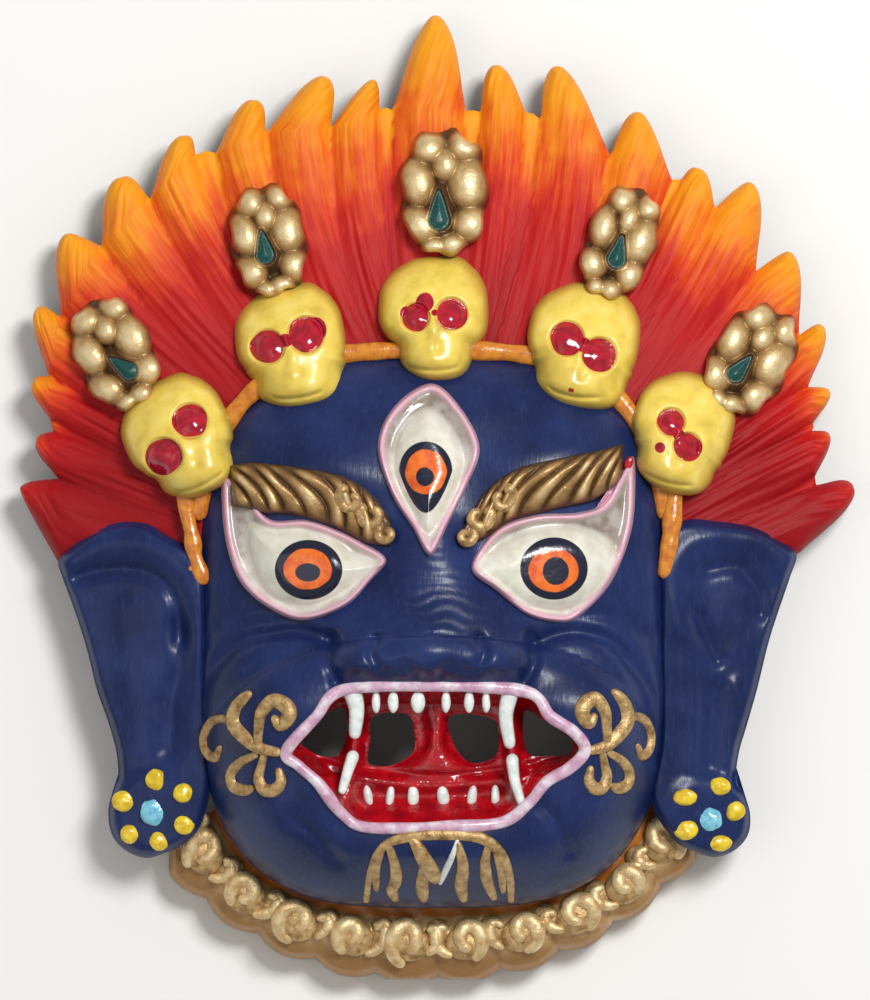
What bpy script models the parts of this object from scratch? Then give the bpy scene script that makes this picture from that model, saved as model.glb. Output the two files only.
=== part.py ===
# Mahakala mask, lying on its back: face up (+Z), crown towards +Y.
# It is one hollow moulding: a head with a domed face, long ears, a fan of flames,
# five skulls under five crown ornaments, and a curled collar under the jaw.
# The carving is drawn in three-hundredths of the mask's height.
import math

import bmesh
import bpy

# Driving sizes in metres
MASK_HEIGHT = 0.300
MASK_WIDTH = 0.259
MASK_DEPTH = 0.072
WALL = 0.004
FLAME_THICKNESS = 0.006
EAR_THICKNESS = 0.005
MOUTH_FLOOR = 0.004

# Fineness of the fused solid: grain of the fusing in metres, and its number of facets
GRAIN = 0.0011
FACETS = 9700

# Sizes of the drawing that the driving sizes stretch
DRAWN_HEIGHT = 300.0
DRAWN_WIDTH = 259.0
DRAWN_DEPTH = 72.0
UNIT_X = MASK_WIDTH / DRAWN_WIDTH
UNIT_Y = MASK_HEIGHT / DRAWN_HEIGHT
UNIT_Z = MASK_DEPTH / DRAWN_DEPTH

# Head: a squarish oval, with its centre, half sizes and corner power
HEAD_X = -1.7
HEAD_Y = -41.3
HEAD_HALF_WIDTH = 73.4
HEAD_HALF_HEIGHT = 86.4
HEAD_POWER = 3.2
EDGE_Z = 26.0
CROWN_Z = 55.0
FOOT_Z = -1.0

# Soft forms of the face: x, y, rise, half width, half height, turn in degrees
FACE_FORMS = (
    (0, 24, 3.0, 42, 16, 0),
    (-37, 10, 4.5, 26, 10, -16),
    (38, 12, 4.5, 26, 10, 16),
    (-3, -10, 4.0, 11, 14, 0),
    (-52, -66, 7.0, 19, 17, 0),
    (50, -66, 7.0, 19, 17, 0),
    (0, -64, 2.0, 36, 6, 0),
    (-50, -99, 5.0, 17, 15, 0),
    (48, -99, 5.0, 17, 15, 0),
    (0, -110, 7.0, 30, 10, 0),
)

# Nose: middle, top, line of the tip, lower edge, rise of the tip and half width there,
# then how far out its wings lie, their line, rise and size
NOSE = (-3.0, -6.0, -45.0, -61.0, 16.0, 17.0)
NOSE_WINGS = (23.0, -49.5, 8.0, 8.5)

# Muzzle: the round form below the eyes that a crease rings on its upper side
MUZZLE = (-2.0, -88.0, 71.0, 45.0)
MUZZLE_RISE = 6.0
CREASE_DEPTH = 2.4

# Flames from the left ear over the crown to the right ear:
# x and y of the valley before the tongue, x and y of its tip, half width of the tip
FLAMES = (
    (-118.0, -20.0, -129.2, 2.5, 1.5),
    (-117.5, 5.0, -124.5, 17.0, 2.4),
    (-119.5, 22.0, -126.5, 34.5, 2.2),
    (-121.0, 37.5, -123.5, 57.0, 3.8),
    (-117.3, 56.0, -116.0, 81.5, 3.2),
    (-104.5, 78.5, -98.5, 99.2, 3.6),
    (-89.5, 92.7, -79.0, 112.2, 3.0),
    (-72.0, 106.5, -58.5, 123.2, 3.4),
    (-53.5, 113.4, -36.5, 130.7, 3.4),
    (-33.2, 114.8, -20.3, 129.9, 1.3),
    (-15.8, 120.2, -0.7, 150.0, 3.0),
    (11.0, 119.8, 18.0, 134.2, 2.0),
    (29.6, 118.7, 37.0, 133.8, 3.0),
    (53.8, 106.4, 63.0, 119.5, 3.2),
    (73.8, 98.9, 80.6, 102.0, 3.2),
    (87.5, 89.8, 97.5, 97.8, 3.4),
    (100.6, 70.4, 109.0, 76.3, 3.4),
    (112.6, 50.6, 119.4, 53.3, 2.0),
    (115.2, 34.6, 122.0, 32.6, 1.4),
    (116.5, 21.3, 122.0, 19.2, 1.4),
    (117.6, 5.2, 129.3, 1.8, 1.9),
)
FLAMES_END = (112.5, -17.0)
FLAME_ROOT_Z = 31.0
FLAME_TIP_Z = 15.0
FLAME_RIDGE = 3.2
FLAME_BELLY = 0.05
FLAME_FOOT_Y = -12.0
FLAME_FOOT_BOW = 5.0

# Skulls: x, y, turn of the shape, turn of the sockets, half distance of the sockets, scale
SKULLS = (
    (-80.3, 18.2, 16, 54, 6.9, 1.00),
    (-45.6, 47.0, 7, 16, 6.2, 1.00),
    (-1.2, 55.6, 0, -4, 5.2, 1.00),
    (44.8, 47.4, -10, -27, 5.8, 1.00),
    (75.7, 20.3, -13, -58, 4.5, 0.92),
)
SKULL_RISE = 13.0
SOCKET_DEPTH = 4.5

# Crown ornaments: x, y, half width, half height, turn, gem x, gem y, gem turn
ORNAMENTS = (
    (-100.3, 44.6, 12.6, 18.4, 24, -98.3, 40.4, 58),
    (-52.7, 79.6, 12.0, 17.6, 8, -54.2, 78.3, 12),
    (2.0, 94.6, 13.8, 19.4, 0, 0.0, 89.0, 0),
    (56.6, 79.0, 10.8, 18.2, -20, 56.2, 77.0, -18),
    (97.2, 42.5, 12.8, 18.2, -30, 93.6, 40.2, -42),
)
ORNAMENT_RISE = 8.0

# Eyes: outline points from the inner corner over the upper lid, then the iris centre
LEFT_EYE = (
    (-15.7, -19.4), (-23, -14), (-32, -9.6), (-41, -6.8), (-52, -6.6), (-58, 0.5), (-66.5, 7.2),
    (-67.2, -3), (-65.6, -15.5), (-61.4, -26.5), (-53, -34.2), (-42, -38.4), (-29, -34.2), (-21.5, -27),
)
RIGHT_EYE = (
    (10.4, -23), (13, -15.6), (20, -8.6), (31, -5.2), (43.5, -4.5), (51.5, -1.5), (56.5, 7), (61, 12.8),
    (61.6, 1), (60, -12), (54, -27), (43.5, -37.6), (36, -38.8), (27, -36.2), (18, -29.2),
)
THIRD_EYE = (
    (-2.2, -18.2), (-8, -9.5), (-15, 2), (-18.8, 16.5), (-13.5, 28.5), (-2.2, 35.6),
    (6.5, 29), (13.2, 16), (9.4, 3.6), (3.4, -8.5),
)
IRISES = ((-40.1, -22.2, 10.6), (36.2, -22.1, 10.6), (-3.6, 7.1, 8.4))

# Brows: inner end, upper middle and outer end of each, and their heights across
BROWS = (
    ((-15.0, -11.0), (-28.0, 3.0), (-62.0, 8.0), 12.0),
    ((9.5, -12.5), (22.0, 2.0), (57.5, 11.5), 12.0),
)

# Mouth: outline of the opening from the left corner over the top, then its four holes
MOUTH = (
    (-47.0, -79.0), (-38.0, -68.5), (-29.0, -59.8), (0.0, -58.6), (27.5, -60.4), (35.0, -68.0),
    (42.5, -73.0), (45.8, -78.6), (41.0, -84.2), (34.0, -88.4), (28.4, -95.0), (19.5, -101.2),
    (0.0, -102.4), (-22.0, -102.6), (-30.0, -98.0), (-37.0, -89.0), (-43.0, -83.6),
)
MOUTH_HOLES = (
    (-35.6, -72.8, 7.2, 6.6, -0.30),
    (-14.2, -75.6, 7.2, 7.8, 0.0),
    (11.8, -75.4, 7.4, 7.6, 0.0),
    (34.0, -72.8, 7.4, 6.6, 0.30),
)
MOUTH_FLOOR_Z = 44.0
LIP_RADIUS = 2.6

# Teeth: x positions of the small teeth, their roots and length, then x, y, x, y from root
# to tip of the fangs
UPPER_TEETH = (-19.1, -13.8, -6.1, 2.6, 9.8, 15.1)
LOWER_TEETH = (-21.6, -14.8, -7.6, 1.7, 10.7, 17.9)
UPPER_ROOT_Y = -59.8
LOWER_ROOT_Y = -96.6
TOOTH_LENGTH = 6.9
FANGS = (
    (-25.6, -60.5, -25.6, -73.5),
    (21.8, -61.0, 22.2, -76.0),
    (-29.5, -90.5, -26.6, -80.5),
    (25.6, -93.5, 23.4, -81.5),
)

# Scroll of whiskers beside the mouth, strand by strand, measured from its root at the left
# corner; the right one mirrors it
SCROLL_ROOTS = ((-49.9, -79.2, 1.0), (49.0, -78.6, -1.0))
SCROLL = (
    ((0.0, 0.0), (-5.9, 1.6), (-10.3, 5.3), (-13.1, 9.3), (-12.1, 14.3), (-9.0, 17.7)),
    ((-12.7, 7.5), (-16.5, 10.3), (-20.2, 9.3), (-22.4, 4.7), (-21.5, 0.0), (-19.0, -1.6), (-17.7, 1.2)),
    ((-5.9, 2.2), (-5.6, 7.5), (-4.7, 12.4), (-1.2, 15.9), (2.8, 14.3), (3.7, 11.2), (1.2, 8.4), (-0.6, 10.3)),
    ((-6.8, -0.9), (-11.2, -3.1), (-14.0, -6.5), (-13.4, -10.3), (-10.3, -11.8), (-7.8, -11.2)),
    ((-4.0, -0.9), (-5.0, -5.0), (-5.6, -8.1), (-4.0, -11.5), (-0.9, -11.8), (1.2, -9.3), (0.6, -5.9)),
)
SCROLL_RADIUS = 1.5
HAIR_STEPS = 15

# Beard under the lower lip: its arch first, then the strands that hang inside
BEARD = (
    ((-22.2, -125.4), (-20.7, -115.8), (-17.3, -109.0), (-11.7, -106.2), (-2.3, -104.9), (10.1, -105.2),
     (16.3, -107.4), (20.4, -112.1), (22.5, -118.9), (22.8, -125.4)),
    ((-16.9, -109.0), (-19.1, -115.2), (-19.0, -122.0)),
    ((-15.4, -108.0), (-13.5, -113.3), (-12.9, -118.3), (-14.1, -122.0), (-12.9, -125.1)),
    ((-7.6, -106.5), (-4.8, -111.2), (-1.7, -116.4), (-0.5, -119.0)),
    ((-3.8, -112.5), (-4.8, -120.0), (-4.2, -125.1)),
    ((6.4, -107.1), (4.5, -112.1), (2.0, -117.4), (0.8, -119.5)),
    ((6.4, -108.0), (7.9, -114.3), (7.3, -120.5), (8.2, -125.1)),
    ((15.7, -108.3), (14.8, -113.3), (15.4, -118.9), (17.6, -124.5)),
    ((17.6, -109.6), (19.7, -115.8), (20.4, -122.6)),
)
BEARD_RADIUS = 1.3

# Ears: outer edge from the top of the helix down to the lobe, then centre and radius of the lobe
LEFT_EAR = (
    (-90.0, -7.6), (-101.0, -8.2), (-110.0, -11.8), (-117.6, -19.6), (-112.9, -39.6),
    (-107.6, -60.0), (-103.6, -77.0), (-101.0, -90.0),
)
RIGHT_EAR = (
    (86.0, -7.4), (97.0, -8.6), (105.5, -12.8), (112.2, -17.8), (105.2, -40.0),
    (98.2, -63.0), (93.8, -79.4), (94.0, -90.0),
)
LOBES = ((-87.8, -97.8, 14.4), (84.1, -98.7, 14.0))
EAR_ROLL = 5.0
EAR_BOWL = 3.5
LOBE_Z = 20.0

# Studs of the lobes: x and y, the middle one first
STUDS = (
    (-88.6, -97.5, 3.4), (-87.6, -87.8, 2.6), (-97.5, -94.4, 2.8), (-79.1, -92.2, 2.5),
    (-95.6, -104.6, 2.5), (-78.5, -102.1, 2.5), (-86.6, -106.8, 2.4),
    (84.6, -100.0, 3.2), (87.7, -89.9, 2.7), (76.8, -93.3, 2.9), (92.4, -97.5, 2.8),
    (77.1, -103.4, 2.8), (87.7, -107.4, 2.8),
)

# Collar of curls under the jaw: angles of its ends about the head's centre, and its lobes
COLLAR_START = 219.0
COLLAR_END = 322.0
COLLAR_LOBES = 13
COLLAR_Z = 20.0


def place(x, y, z):
    """Turn a drawn point into metres."""
    return (x * UNIT_X, y * UNIT_Y, z * UNIT_Z)


def smooth_step(low, high, value):
    """Rise smoothly from 0 at low to 1 at high."""
    t = min(1.0, max(0.0, (value - low) / (high - low)))
    return t * t * (3.0 - 2.0 * t)


def head_edge(angle, inset=0.0):
    """Return the point of the head's outline at an angle, moved in by inset."""
    half_w = HEAD_HALF_WIDTH - inset
    half_h = HEAD_HALF_HEIGHT - inset
    c = math.cos(angle)
    s = math.sin(angle)
    power = HEAD_POWER
    reach = (abs(c / half_w) ** power + abs(s / half_h) ** power) ** (-1.0 / power)
    return (HEAD_X + reach * c, HEAD_Y + reach * s)


def head_share(x, y):
    """Return 0 at the head's centre and 1 on its outline."""
    u = abs(x - HEAD_X) / HEAD_HALF_WIDTH
    v = abs(y - HEAD_Y) / HEAD_HALF_HEIGHT
    return (u ** HEAD_POWER + v ** HEAD_POWER) ** (1.0 / HEAD_POWER)


def form_rise(x, y):
    """Add up the soft forms of the face at a point."""
    rise = 0.0
    for fx, fy, height, half_w, half_h, turn in FACE_FORMS:
        a = math.radians(turn)
        u = ((x - fx) * math.cos(a) + (y - fy) * math.sin(a)) / half_w
        v = ((y - fy) * math.cos(a) - (x - fx) * math.sin(a)) / half_h
        rise += height * math.exp(-(u * u + v * v))
    return rise


def nose_rise(x, y):
    """Return the rise of the nose: a broad ridge that ends in a blunt tip over two round wings."""
    middle, top, tip, low, rise, half = NOSE
    along = smooth_step(top, tip, y) ** 1.3
    under = smooth_step(low, tip + 2.0, y)
    width = half * (0.5 + 0.5 * along)
    ridge = rise * along * under * math.exp(-(abs((x - middle) / width) ** 2.2))
    out, line, wing_rise, size = NOSE_WINGS
    wings = 0.0
    for side in (-1.0, 1.0):
        u = (x - middle - side * out) / size
        v = (y - line) / size
        wings = max(wings, wing_rise * math.exp(-(u * u + v * v) ** 1.3))
    return max(ridge, wings) + 0.35 * min(ridge, wings)


def plate_height(x, y):
    """Return the height of the flames' valleys: highest at the head and low at the tips."""
    angle = math.atan2(y - HEAD_Y, x - HEAD_X)
    ex, ey = head_edge(angle)
    start = math.hypot(ex - HEAD_X, ey - HEAD_Y)
    reach = math.hypot(x - HEAD_X, y - HEAD_Y) - start
    length = 52.0 + 56.0 * max(0.0, math.sin(angle)) ** 2
    return FLAME_ROOT_Z + (FLAME_TIP_Z - FLAME_ROOT_Z) * min(1.1, max(0.0, reach / length))


def muzzle_share(x, y):
    """Return 1 on the crease round the muzzle."""
    mx, my, half_w, half_h = MUZZLE
    return (abs((x - mx) / half_w) ** 2.4 + abs((y - my) / half_h) ** 2.4) ** (1.0 / 2.4)


def skin(x, y, carved=True):
    """Return the height of the face's outer skin."""
    r = min(1.0, head_share(x, y))
    dome = math.sqrt(max(0.0, 1.0 - r ** 2.4))
    fade = min(1.0, dome * 1.6)
    z = EDGE_Z + (CROWN_Z - EDGE_Z) * dome + fade * form_rise(x, y)
    m = muzzle_share(x, y)
    z += fade * (MUZZLE_RISE * max(0.0, 1.0 - m * m) + nose_rise(x, y))
    if carved:
        upper = smooth_step(-86.0, -62.0, y) * smooth_step(14.0, 34.0, abs(x - HEAD_X))
        z -= fade * upper * CREASE_DEPTH * math.exp(-(((m - 1.03) / 0.05) ** 2))
    return z


def smooth_loop(points, count):
    """Run a closed smooth curve through a few points and return count points of it."""
    n = len(points)
    out = []
    for k in range(count):
        f = k * n / count
        i = int(f)
        t = f - i
        p0, p1, p2, p3 = (points[(i + j) % n] for j in (-1, 0, 1, 2))
        out.append(tuple(
            0.5 * (2 * b + (c - a) * t + (2 * a - 5 * b + 4 * c - d) * t * t
                   + (3 * b - a - 3 * c + d) * t ** 3)
            for a, b, c, d in zip(p0, p1, p2, p3)
        ))
    return out


def smooth_line(points, count):
    """Run an open smooth curve through a few points and return count points of it."""
    ends = [points[0]] + list(points) + [points[-1]]
    n = len(points) - 1
    out = []
    for k in range(count):
        f = k * n / (count - 1)
        i = min(n - 1, int(f))
        t = f - i
        out.append(tuple(
            0.5 * (2 * b + (c - a) * t + (2 * a - 5 * b + 4 * c - d) * t * t
                   + (3 * b - a - 3 * c + d) * t ** 3)
            for a, b, c, d in zip(*ends[i:i + 4])
        ))
    return out


def new_piece(name, points, faces):
    """Make a closed mesh object from drawn points, with its faces turned outwards."""
    mesh = bpy.data.meshes.new(name)
    mesh.from_pydata([place(*p) for p in points], [], faces)
    work = bmesh.new()
    work.from_mesh(mesh)
    bmesh.ops.remove_doubles(work, verts=work.verts, dist=0.000001)
    bmesh.ops.triangulate(work, faces=work.faces)
    bmesh.ops.recalc_face_normals(work, faces=work.faces)
    work.to_mesh(mesh)
    work.free()
    piece = bpy.data.objects.new(name, mesh)
    bpy.context.scene.collection.objects.link(piece)
    return piece


def rings_to_faces(count, rings, first, faces):
    """Join rings of count points each, stored one after another from index first."""
    for k in range(rings - 1):
        for i in range(count):
            a = first + k * count + i
            b = first + k * count + (i + 1) % count
            faces.append((a, b, b + count, a + count))


def lathe_like(rings, top_point, bottom_point):
    """Return points and faces of a closed form: rings from top to bottom with a point at each end."""
    count = len(rings[0])
    points = [p for ring in rings for p in ring]
    faces = []
    rings_to_faces(count, len(rings), 0, faces)
    top = len(points)
    points.append(top_point)
    bottom = len(points)
    points.append(bottom_point)
    last = (len(rings) - 1) * count
    for i in range(count):
        faces.append((top, (i + 1) % count, i))
        faces.append((bottom, last + i, last + (i + 1) % count))
    return points, faces


def patch(name, outline, centre, shares, top_height, low_shares, low_height):
    """Make a closed pad: rings of an outline with one height law above and one below."""
    cx, cy = centre
    rings = []
    for share, law in [(s, top_height) for s in shares] + [(s, low_height) for s in low_shares]:
        ring = []
        for x, y in outline:
            px = cx + (x - cx) * share
            py = cy + (y - cy) * share
            ring.append((px, py, law(px, py, share)))
        rings.append(ring)
    top = (cx, cy, top_height(cx, cy, 0.0))
    low = (cx, cy, low_height(cx, cy, 0.0))
    points, faces = lathe_like(rings, top, low)
    return new_piece(name, points, faces)


def sweep(name, path, radii, sides=5, squash=0.8):
    """Make a closed tapering strand along a path of drawn points; its ends come to a point."""
    rings = []
    last = len(path) - 1
    for i, (x, y, z) in enumerate(path):
        ax, ay, _ = path[max(0, i - 1)]
        bx, by, _ = path[min(last, i + 1)]
        length = math.hypot(bx - ax, by - ay) or 1.0
        nx = -(by - ay) / length
        ny = (bx - ax) / length
        ring = []
        for j in range(sides):
            a = math.tau * j / sides
            side = radii[i] * math.cos(a)
            ring.append((x + nx * side, y + ny * side, z + radii[i] * squash * math.sin(a)))
        rings.append(ring)
    (x0, y0, z0), (x1, y1, _) = path[0], path[1]
    (x2, y2, _), (x3, y3, z3) = path[-2], path[-1]
    start = (x0 - (x1 - x0) * 0.3, y0 - (y1 - y0) * 0.3, z0)
    end = (x3 + (x3 - x2) * 0.3, y3 + (y3 - y2) * 0.3, z3)
    points, faces = lathe_like(rings, start, end)
    return new_piece(name, points, faces)


def oval(cx, cy, half_w, half_h, turn, count, power=2.0):
    """Return the points of a turned oval."""
    a = math.radians(turn)
    out = []
    for i in range(count):
        t = math.tau * i / count
        c = math.cos(t)
        s = math.sin(t)
        u = half_w * math.copysign(abs(c) ** (2.0 / power), c)
        v = half_h * math.copysign(abs(s) ** (2.0 / power), s)
        out.append((cx + u * math.cos(a) - v * math.sin(a), cy + u * math.sin(a) + v * math.cos(a)))
    return out


def apply_step(body, step):
    """Turn a modifier's result into the body's own mesh."""
    bpy.context.view_layer.update()
    graph = bpy.context.evaluated_depsgraph_get()
    mesh = bpy.data.meshes.new_from_object(body.evaluated_get(graph))
    body.modifiers.remove(step)
    old = body.data
    body.data = mesh
    bpy.data.meshes.remove(old)


def apply_boolean(body, tool, operation):
    """Unite or cut the body with a tool and drop the tool."""
    step = body.modifiers.new("step", "BOOLEAN")
    step.operation = operation
    step.solver = "EXACT"
    step.object = tool
    apply_step(body, step)
    bpy.data.objects.remove(tool)


def gather(name, pieces):
    """Join pieces into one object, to be united with the body in one step."""
    work = bmesh.new()
    for piece in pieces:
        work.from_mesh(piece.data)
        bpy.data.objects.remove(piece)
    mesh = bpy.data.meshes.new(name)
    work.to_mesh(mesh)
    work.free()
    joined = bpy.data.objects.new(name, mesh)
    bpy.context.scene.collection.objects.link(joined)
    return joined


def head_shell():
    """Make the hollow head: outer face, flat back rim and smooth inside."""
    count = 120
    wall = WALL / UNIT_X
    outer = [1.0 - (1.0 - (k + 1) / 36.0) ** 1.3 for k in range(36)]
    inner = (1.0, 0.98, 0.94, 0.88, 0.8, 0.7, 0.58, 0.44, 0.3, 0.15)
    angles = [math.tau * (i + 0.5) / count for i in range(count)]
    rings = []
    for share in outer:
        ring = []
        for a in angles:
            ex, ey = head_edge(a)
            x = HEAD_X + (ex - HEAD_X) * share
            y = HEAD_Y + (ey - HEAD_Y) * share
            ring.append((x, y, skin(x, y)))
        rings.append(ring)
    rings.append([(*head_edge(a), FOOT_Z) for a in angles])
    rings.append([(*head_edge(a, wall), FOOT_Z) for a in angles])
    for share in inner:
        ring = []
        for a in angles:
            ex, ey = head_edge(a, wall)
            x = HEAD_X + (ex - HEAD_X) * share
            y = HEAD_Y + (ey - HEAD_Y) * share
            ox, oy = head_edge(a)
            sx = HEAD_X + (ox - HEAD_X) * share
            sy = HEAD_Y + (oy - HEAD_Y) * share
            ring.append((x, y, skin(sx, sy, False) - WALL / UNIT_Z - 1.0))
        rings.append(ring)
    top = (HEAD_X, HEAD_Y, skin(HEAD_X, HEAD_Y))
    low = (HEAD_X, HEAD_Y, skin(HEAD_X, HEAD_Y, False) - WALL / UNIT_Z - 1.0)
    points, faces = lathe_like(rings, top, low)
    return new_piece("mask", points, faces)


def flame_fan():
    """Make the fan of flames as one plate of ridged tongues that share their valleys."""
    valleys = [(f[0], f[1]) for f in FLAMES] + [FLAMES_END]
    tips = [(f[2], f[3], f[4]) for f in FLAMES]
    low_rows = 12
    high_rows = 10
    across = 8
    thick = FLAME_THICKNESS / UNIT_Z
    points = []
    faces = []
    index = {}

    def vertex(x, y, z):
        key = (round(x, 3), round(y, 3), round(z, 3))
        if key not in index:
            index[key] = len(points)
            points.append((x, y, z))
        return index[key]

    def border(valley):
        angle = math.atan2(valley[1] - HEAD_Y, valley[0] - HEAD_X)
        ex, ey = head_edge(angle, 2.2)
        bow = 0.0
        if valley in (valleys[0], valleys[-1]):
            ex = HEAD_X + math.copysign(HEAD_HALF_WIDTH - 2.4, valley[0])
            ey = FLAME_FOOT_Y
            bow = FLAME_FOOT_BOW
        line = []
        for k in range(low_rows + 1):
            t = k / low_rows
            line.append((
                ex + (valley[0] - ex) * t,
                ey + (valley[1] - ey) * t + bow * math.sin(math.pi * t),
            ))
        return line

    def side(valley, tip, sign):
        tx, ty, half = tip
        dx = tx - valley[0]
        dy = ty - valley[1]
        length = math.hypot(dx, dy)
        nx = -dy / length
        ny = dx / length
        out = []
        for k in range(1, high_rows + 1):
            t = k / high_rows
            reach = 1.0 - (1.0 - t) ** 1.6
            round_end = 0.35 + 0.65 * math.sqrt(1.0 - t ** 4)
            belly = sign * (FLAME_BELLY * length * math.sin(math.pi * reach) + half * round_end * t)
            out.append((valley[0] + dx * reach + nx * belly, valley[1] + dy * reach + ny * belly))
        return out

    for i, tip in enumerate(tips):
        left = border(valleys[i]) + side(valleys[i], tip, 1.0)
        right = border(valleys[i + 1]) + side(valleys[i + 1], tip, -1.0)
        rows = low_rows + high_rows
        top = []
        low = []
        for k in range(rows + 1):
            along = k / rows
            ridge = FLAME_RIDGE * smooth_step(0.0, 0.6, along) * (1.0 - smooth_step(0.8, 1.0, along))
            row = []
            for j in range(across + 1):
                s = j / across
                x = left[k][0] + (right[k][0] - left[k][0]) * s
                y = left[k][1] + (right[k][1] - left[k][1]) * s
                row.append(vertex(x, y, plate_height(x, y) + ridge * (1.0 - (2.0 * s - 1.0) ** 2)))
            top.append(row)
            low.append(tuple(
                vertex(x, y, plate_height(x, y) - thick) for x, y in (left[k], right[k])
            ))
        for k in range(rows):
            for j in range(across):
                faces.append((top[k][j], top[k][j + 1], top[k + 1][j + 1], top[k + 1][j]))
            faces.append((low[k][1], low[k][0], low[k + 1][0], low[k + 1][1]))
        for k in range(low_rows, rows):
            faces.append((top[k][0], top[k + 1][0], low[k + 1][0], low[k][0]))
            faces.append((top[k + 1][across], top[k][across], low[k][1], low[k + 1][1]))
        faces.append(tuple(top[0]) + (low[0][1], low[0][0]))
        faces.append(tuple(reversed(top[rows])) + (low[rows][0], low[rows][1]))
        if i == 0:
            for k in range(low_rows):
                faces.append((top[k][0], top[k + 1][0], low[k + 1][0], low[k][0]))
        if i == len(tips) - 1:
            for k in range(low_rows):
                faces.append((top[k + 1][across], top[k][across], low[k][1], low[k + 1][1]))
    return new_piece("flames", points, faces)


def skull(x, y, turn, eye_turn, eye_half, scale):
    """Make one skull of the crown: a round cranium over a narrower jaw, leaning on the brow."""
    a = math.radians(turn)
    out_angle = math.atan2(y - HEAD_Y, x - HEAD_X)
    outline = []
    for i in range(32):
        t = math.tau * i / 32
        c = math.cos(t)
        s = math.sin(t)
        v = (19.0 if s > 0 else 21.5) * math.copysign(abs(s) ** 0.9, s) + 1.0
        narrow = 1.0 - 0.30 * smooth_step(-2.0, 13.0, -v)
        u = 17.2 * math.copysign(abs(c) ** (0.8 if s > 0 else 0.6), c) * narrow
        outline.append((
            x + scale * (u * math.cos(a) - v * math.sin(a)),
            y + scale * (u * math.sin(a) + v * math.cos(a)),
        ))

    def lean(px, py):
        return 30.5 - 0.36 * ((px - x) * math.cos(out_angle) + (py - y) * math.sin(out_angle))

    def top(px, py, share):
        return lean(px, py) + SKULL_RISE * math.sqrt(max(0.0, 1.0 - share ** 2.6))

    def low(px, py, share):
        if head_share(px, py) < 0.97:
            return skin(px, py) - 2.5
        return plate_height(px, py) - 3.0

    form = patch("skull", outline, (x, y), (0.15, 0.3, 0.45, 0.6, 0.74, 0.86, 0.95, 1.0), top, (1.0, 0.8, 0.6, 0.3), low)
    eye_a = math.radians(eye_turn)
    for side in (-1.0, 1.0):
        cx = x - 1.5 * math.sin(a) + side * eye_half * math.cos(eye_a)
        cy = y + 1.5 * math.cos(a) + side * eye_half * math.sin(eye_a)

        def hollow(px, py, share):
            return lean(cx, cy) + SKULL_RISE - SOCKET_DEPTH * math.sqrt(max(0.0, 1.0 - share ** 2))

        ball = patch("socket", oval(cx, cy, 4.7, 4.7, 0, 12), (cx, cy), (1.0,), lambda px, py, s: 70.0,
                     (1.0, 0.8, 0.5), hollow)
        apply_boolean(form, ball, "DIFFERENCE")
    return form


def ornament(x, y, half_w, half_h, turn, gem_x, gem_y, gem_turn):
    """Make one crown ornament: an oval pad covered with seven bosses round a drop gem."""
    a = math.radians(turn)
    base = plate_height(x, y) + 0.5

    def spot(u, v):
        px = u * half_w
        py = v * half_h
        return (x + px * math.cos(a) - py * math.sin(a), y + px * math.sin(a) + py * math.cos(a))

    def dome(px, py, share):
        return plate_height(px, py) + 1.5 + 0.6 * ORNAMENT_RISE * math.sqrt(max(0.0, 1.0 - share ** 3))

    def under(px, py, share):
        return plate_height(px, py) - 2.0

    pieces = [patch("pad", oval(x, y, half_w, half_h, turn, 14), (x, y), (0.6, 0.9, 1.0), dome, (1.0,), under)]
    bosses = ((-0.45, -0.55, 0.44), (0.45, -0.55, 0.44), (-0.55, 0.02, 0.42), (0.55, 0.02, 0.42),
              (-0.4, 0.5, 0.42), (0.4, 0.5, 0.42), (0.0, 0.72, 0.36))
    for u, v, size in bosses:
        cx, cy = spot(u, v)

        def boss(px, py, share):
            return base + ORNAMENT_RISE * (0.25 + 0.65 * math.sqrt(max(0.0, 1.0 - share ** 2.2)))

        pieces.append(patch(
            "boss", oval(cx, cy, size * half_w, size * half_w * 1.05, turn, 7), (cx, cy),
            (0.62, 1.0), boss, (0.9,), under))

    def gem(px, py, share):
        return base + ORNAMENT_RISE * (0.55 + 0.5 * math.sqrt(max(0.0, 1.0 - share ** 2)))

    pieces.append(patch("gem", oval(gem_x, gem_y, 2.6, 5.0, gem_turn, 8), (gem_x, gem_y), (0.6, 1.0),
                        gem, (1.0,), under))
    return pieces


def eye(points, iris):
    """Make an eye: a raised lid round a channel and a bulging ball."""
    cx, cy, radius = iris
    outline = smooth_loop(points, 24)

    def top(px, py, share):
        ball = 5.5 * math.exp(-(((px - cx) / 14.0) ** 2 + ((py - cy) / 12.0) ** 2))
        lid = 2.6 * math.exp(-(((share - 0.94) / 0.05) ** 2))
        return skin(px, py) + 0.8 + ball * (1.0 - share ** 6) + lid - 2.0 * smooth_step(0.97, 1.0, share)

    def low(px, py, share):
        return skin(px, py) - 2.4

    return patch("eye", outline, (cx, cy), (0.25, 0.5, 0.72, 0.86, 0.94, 1.0), top, (1.0, 0.7, 0.35), low)


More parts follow.
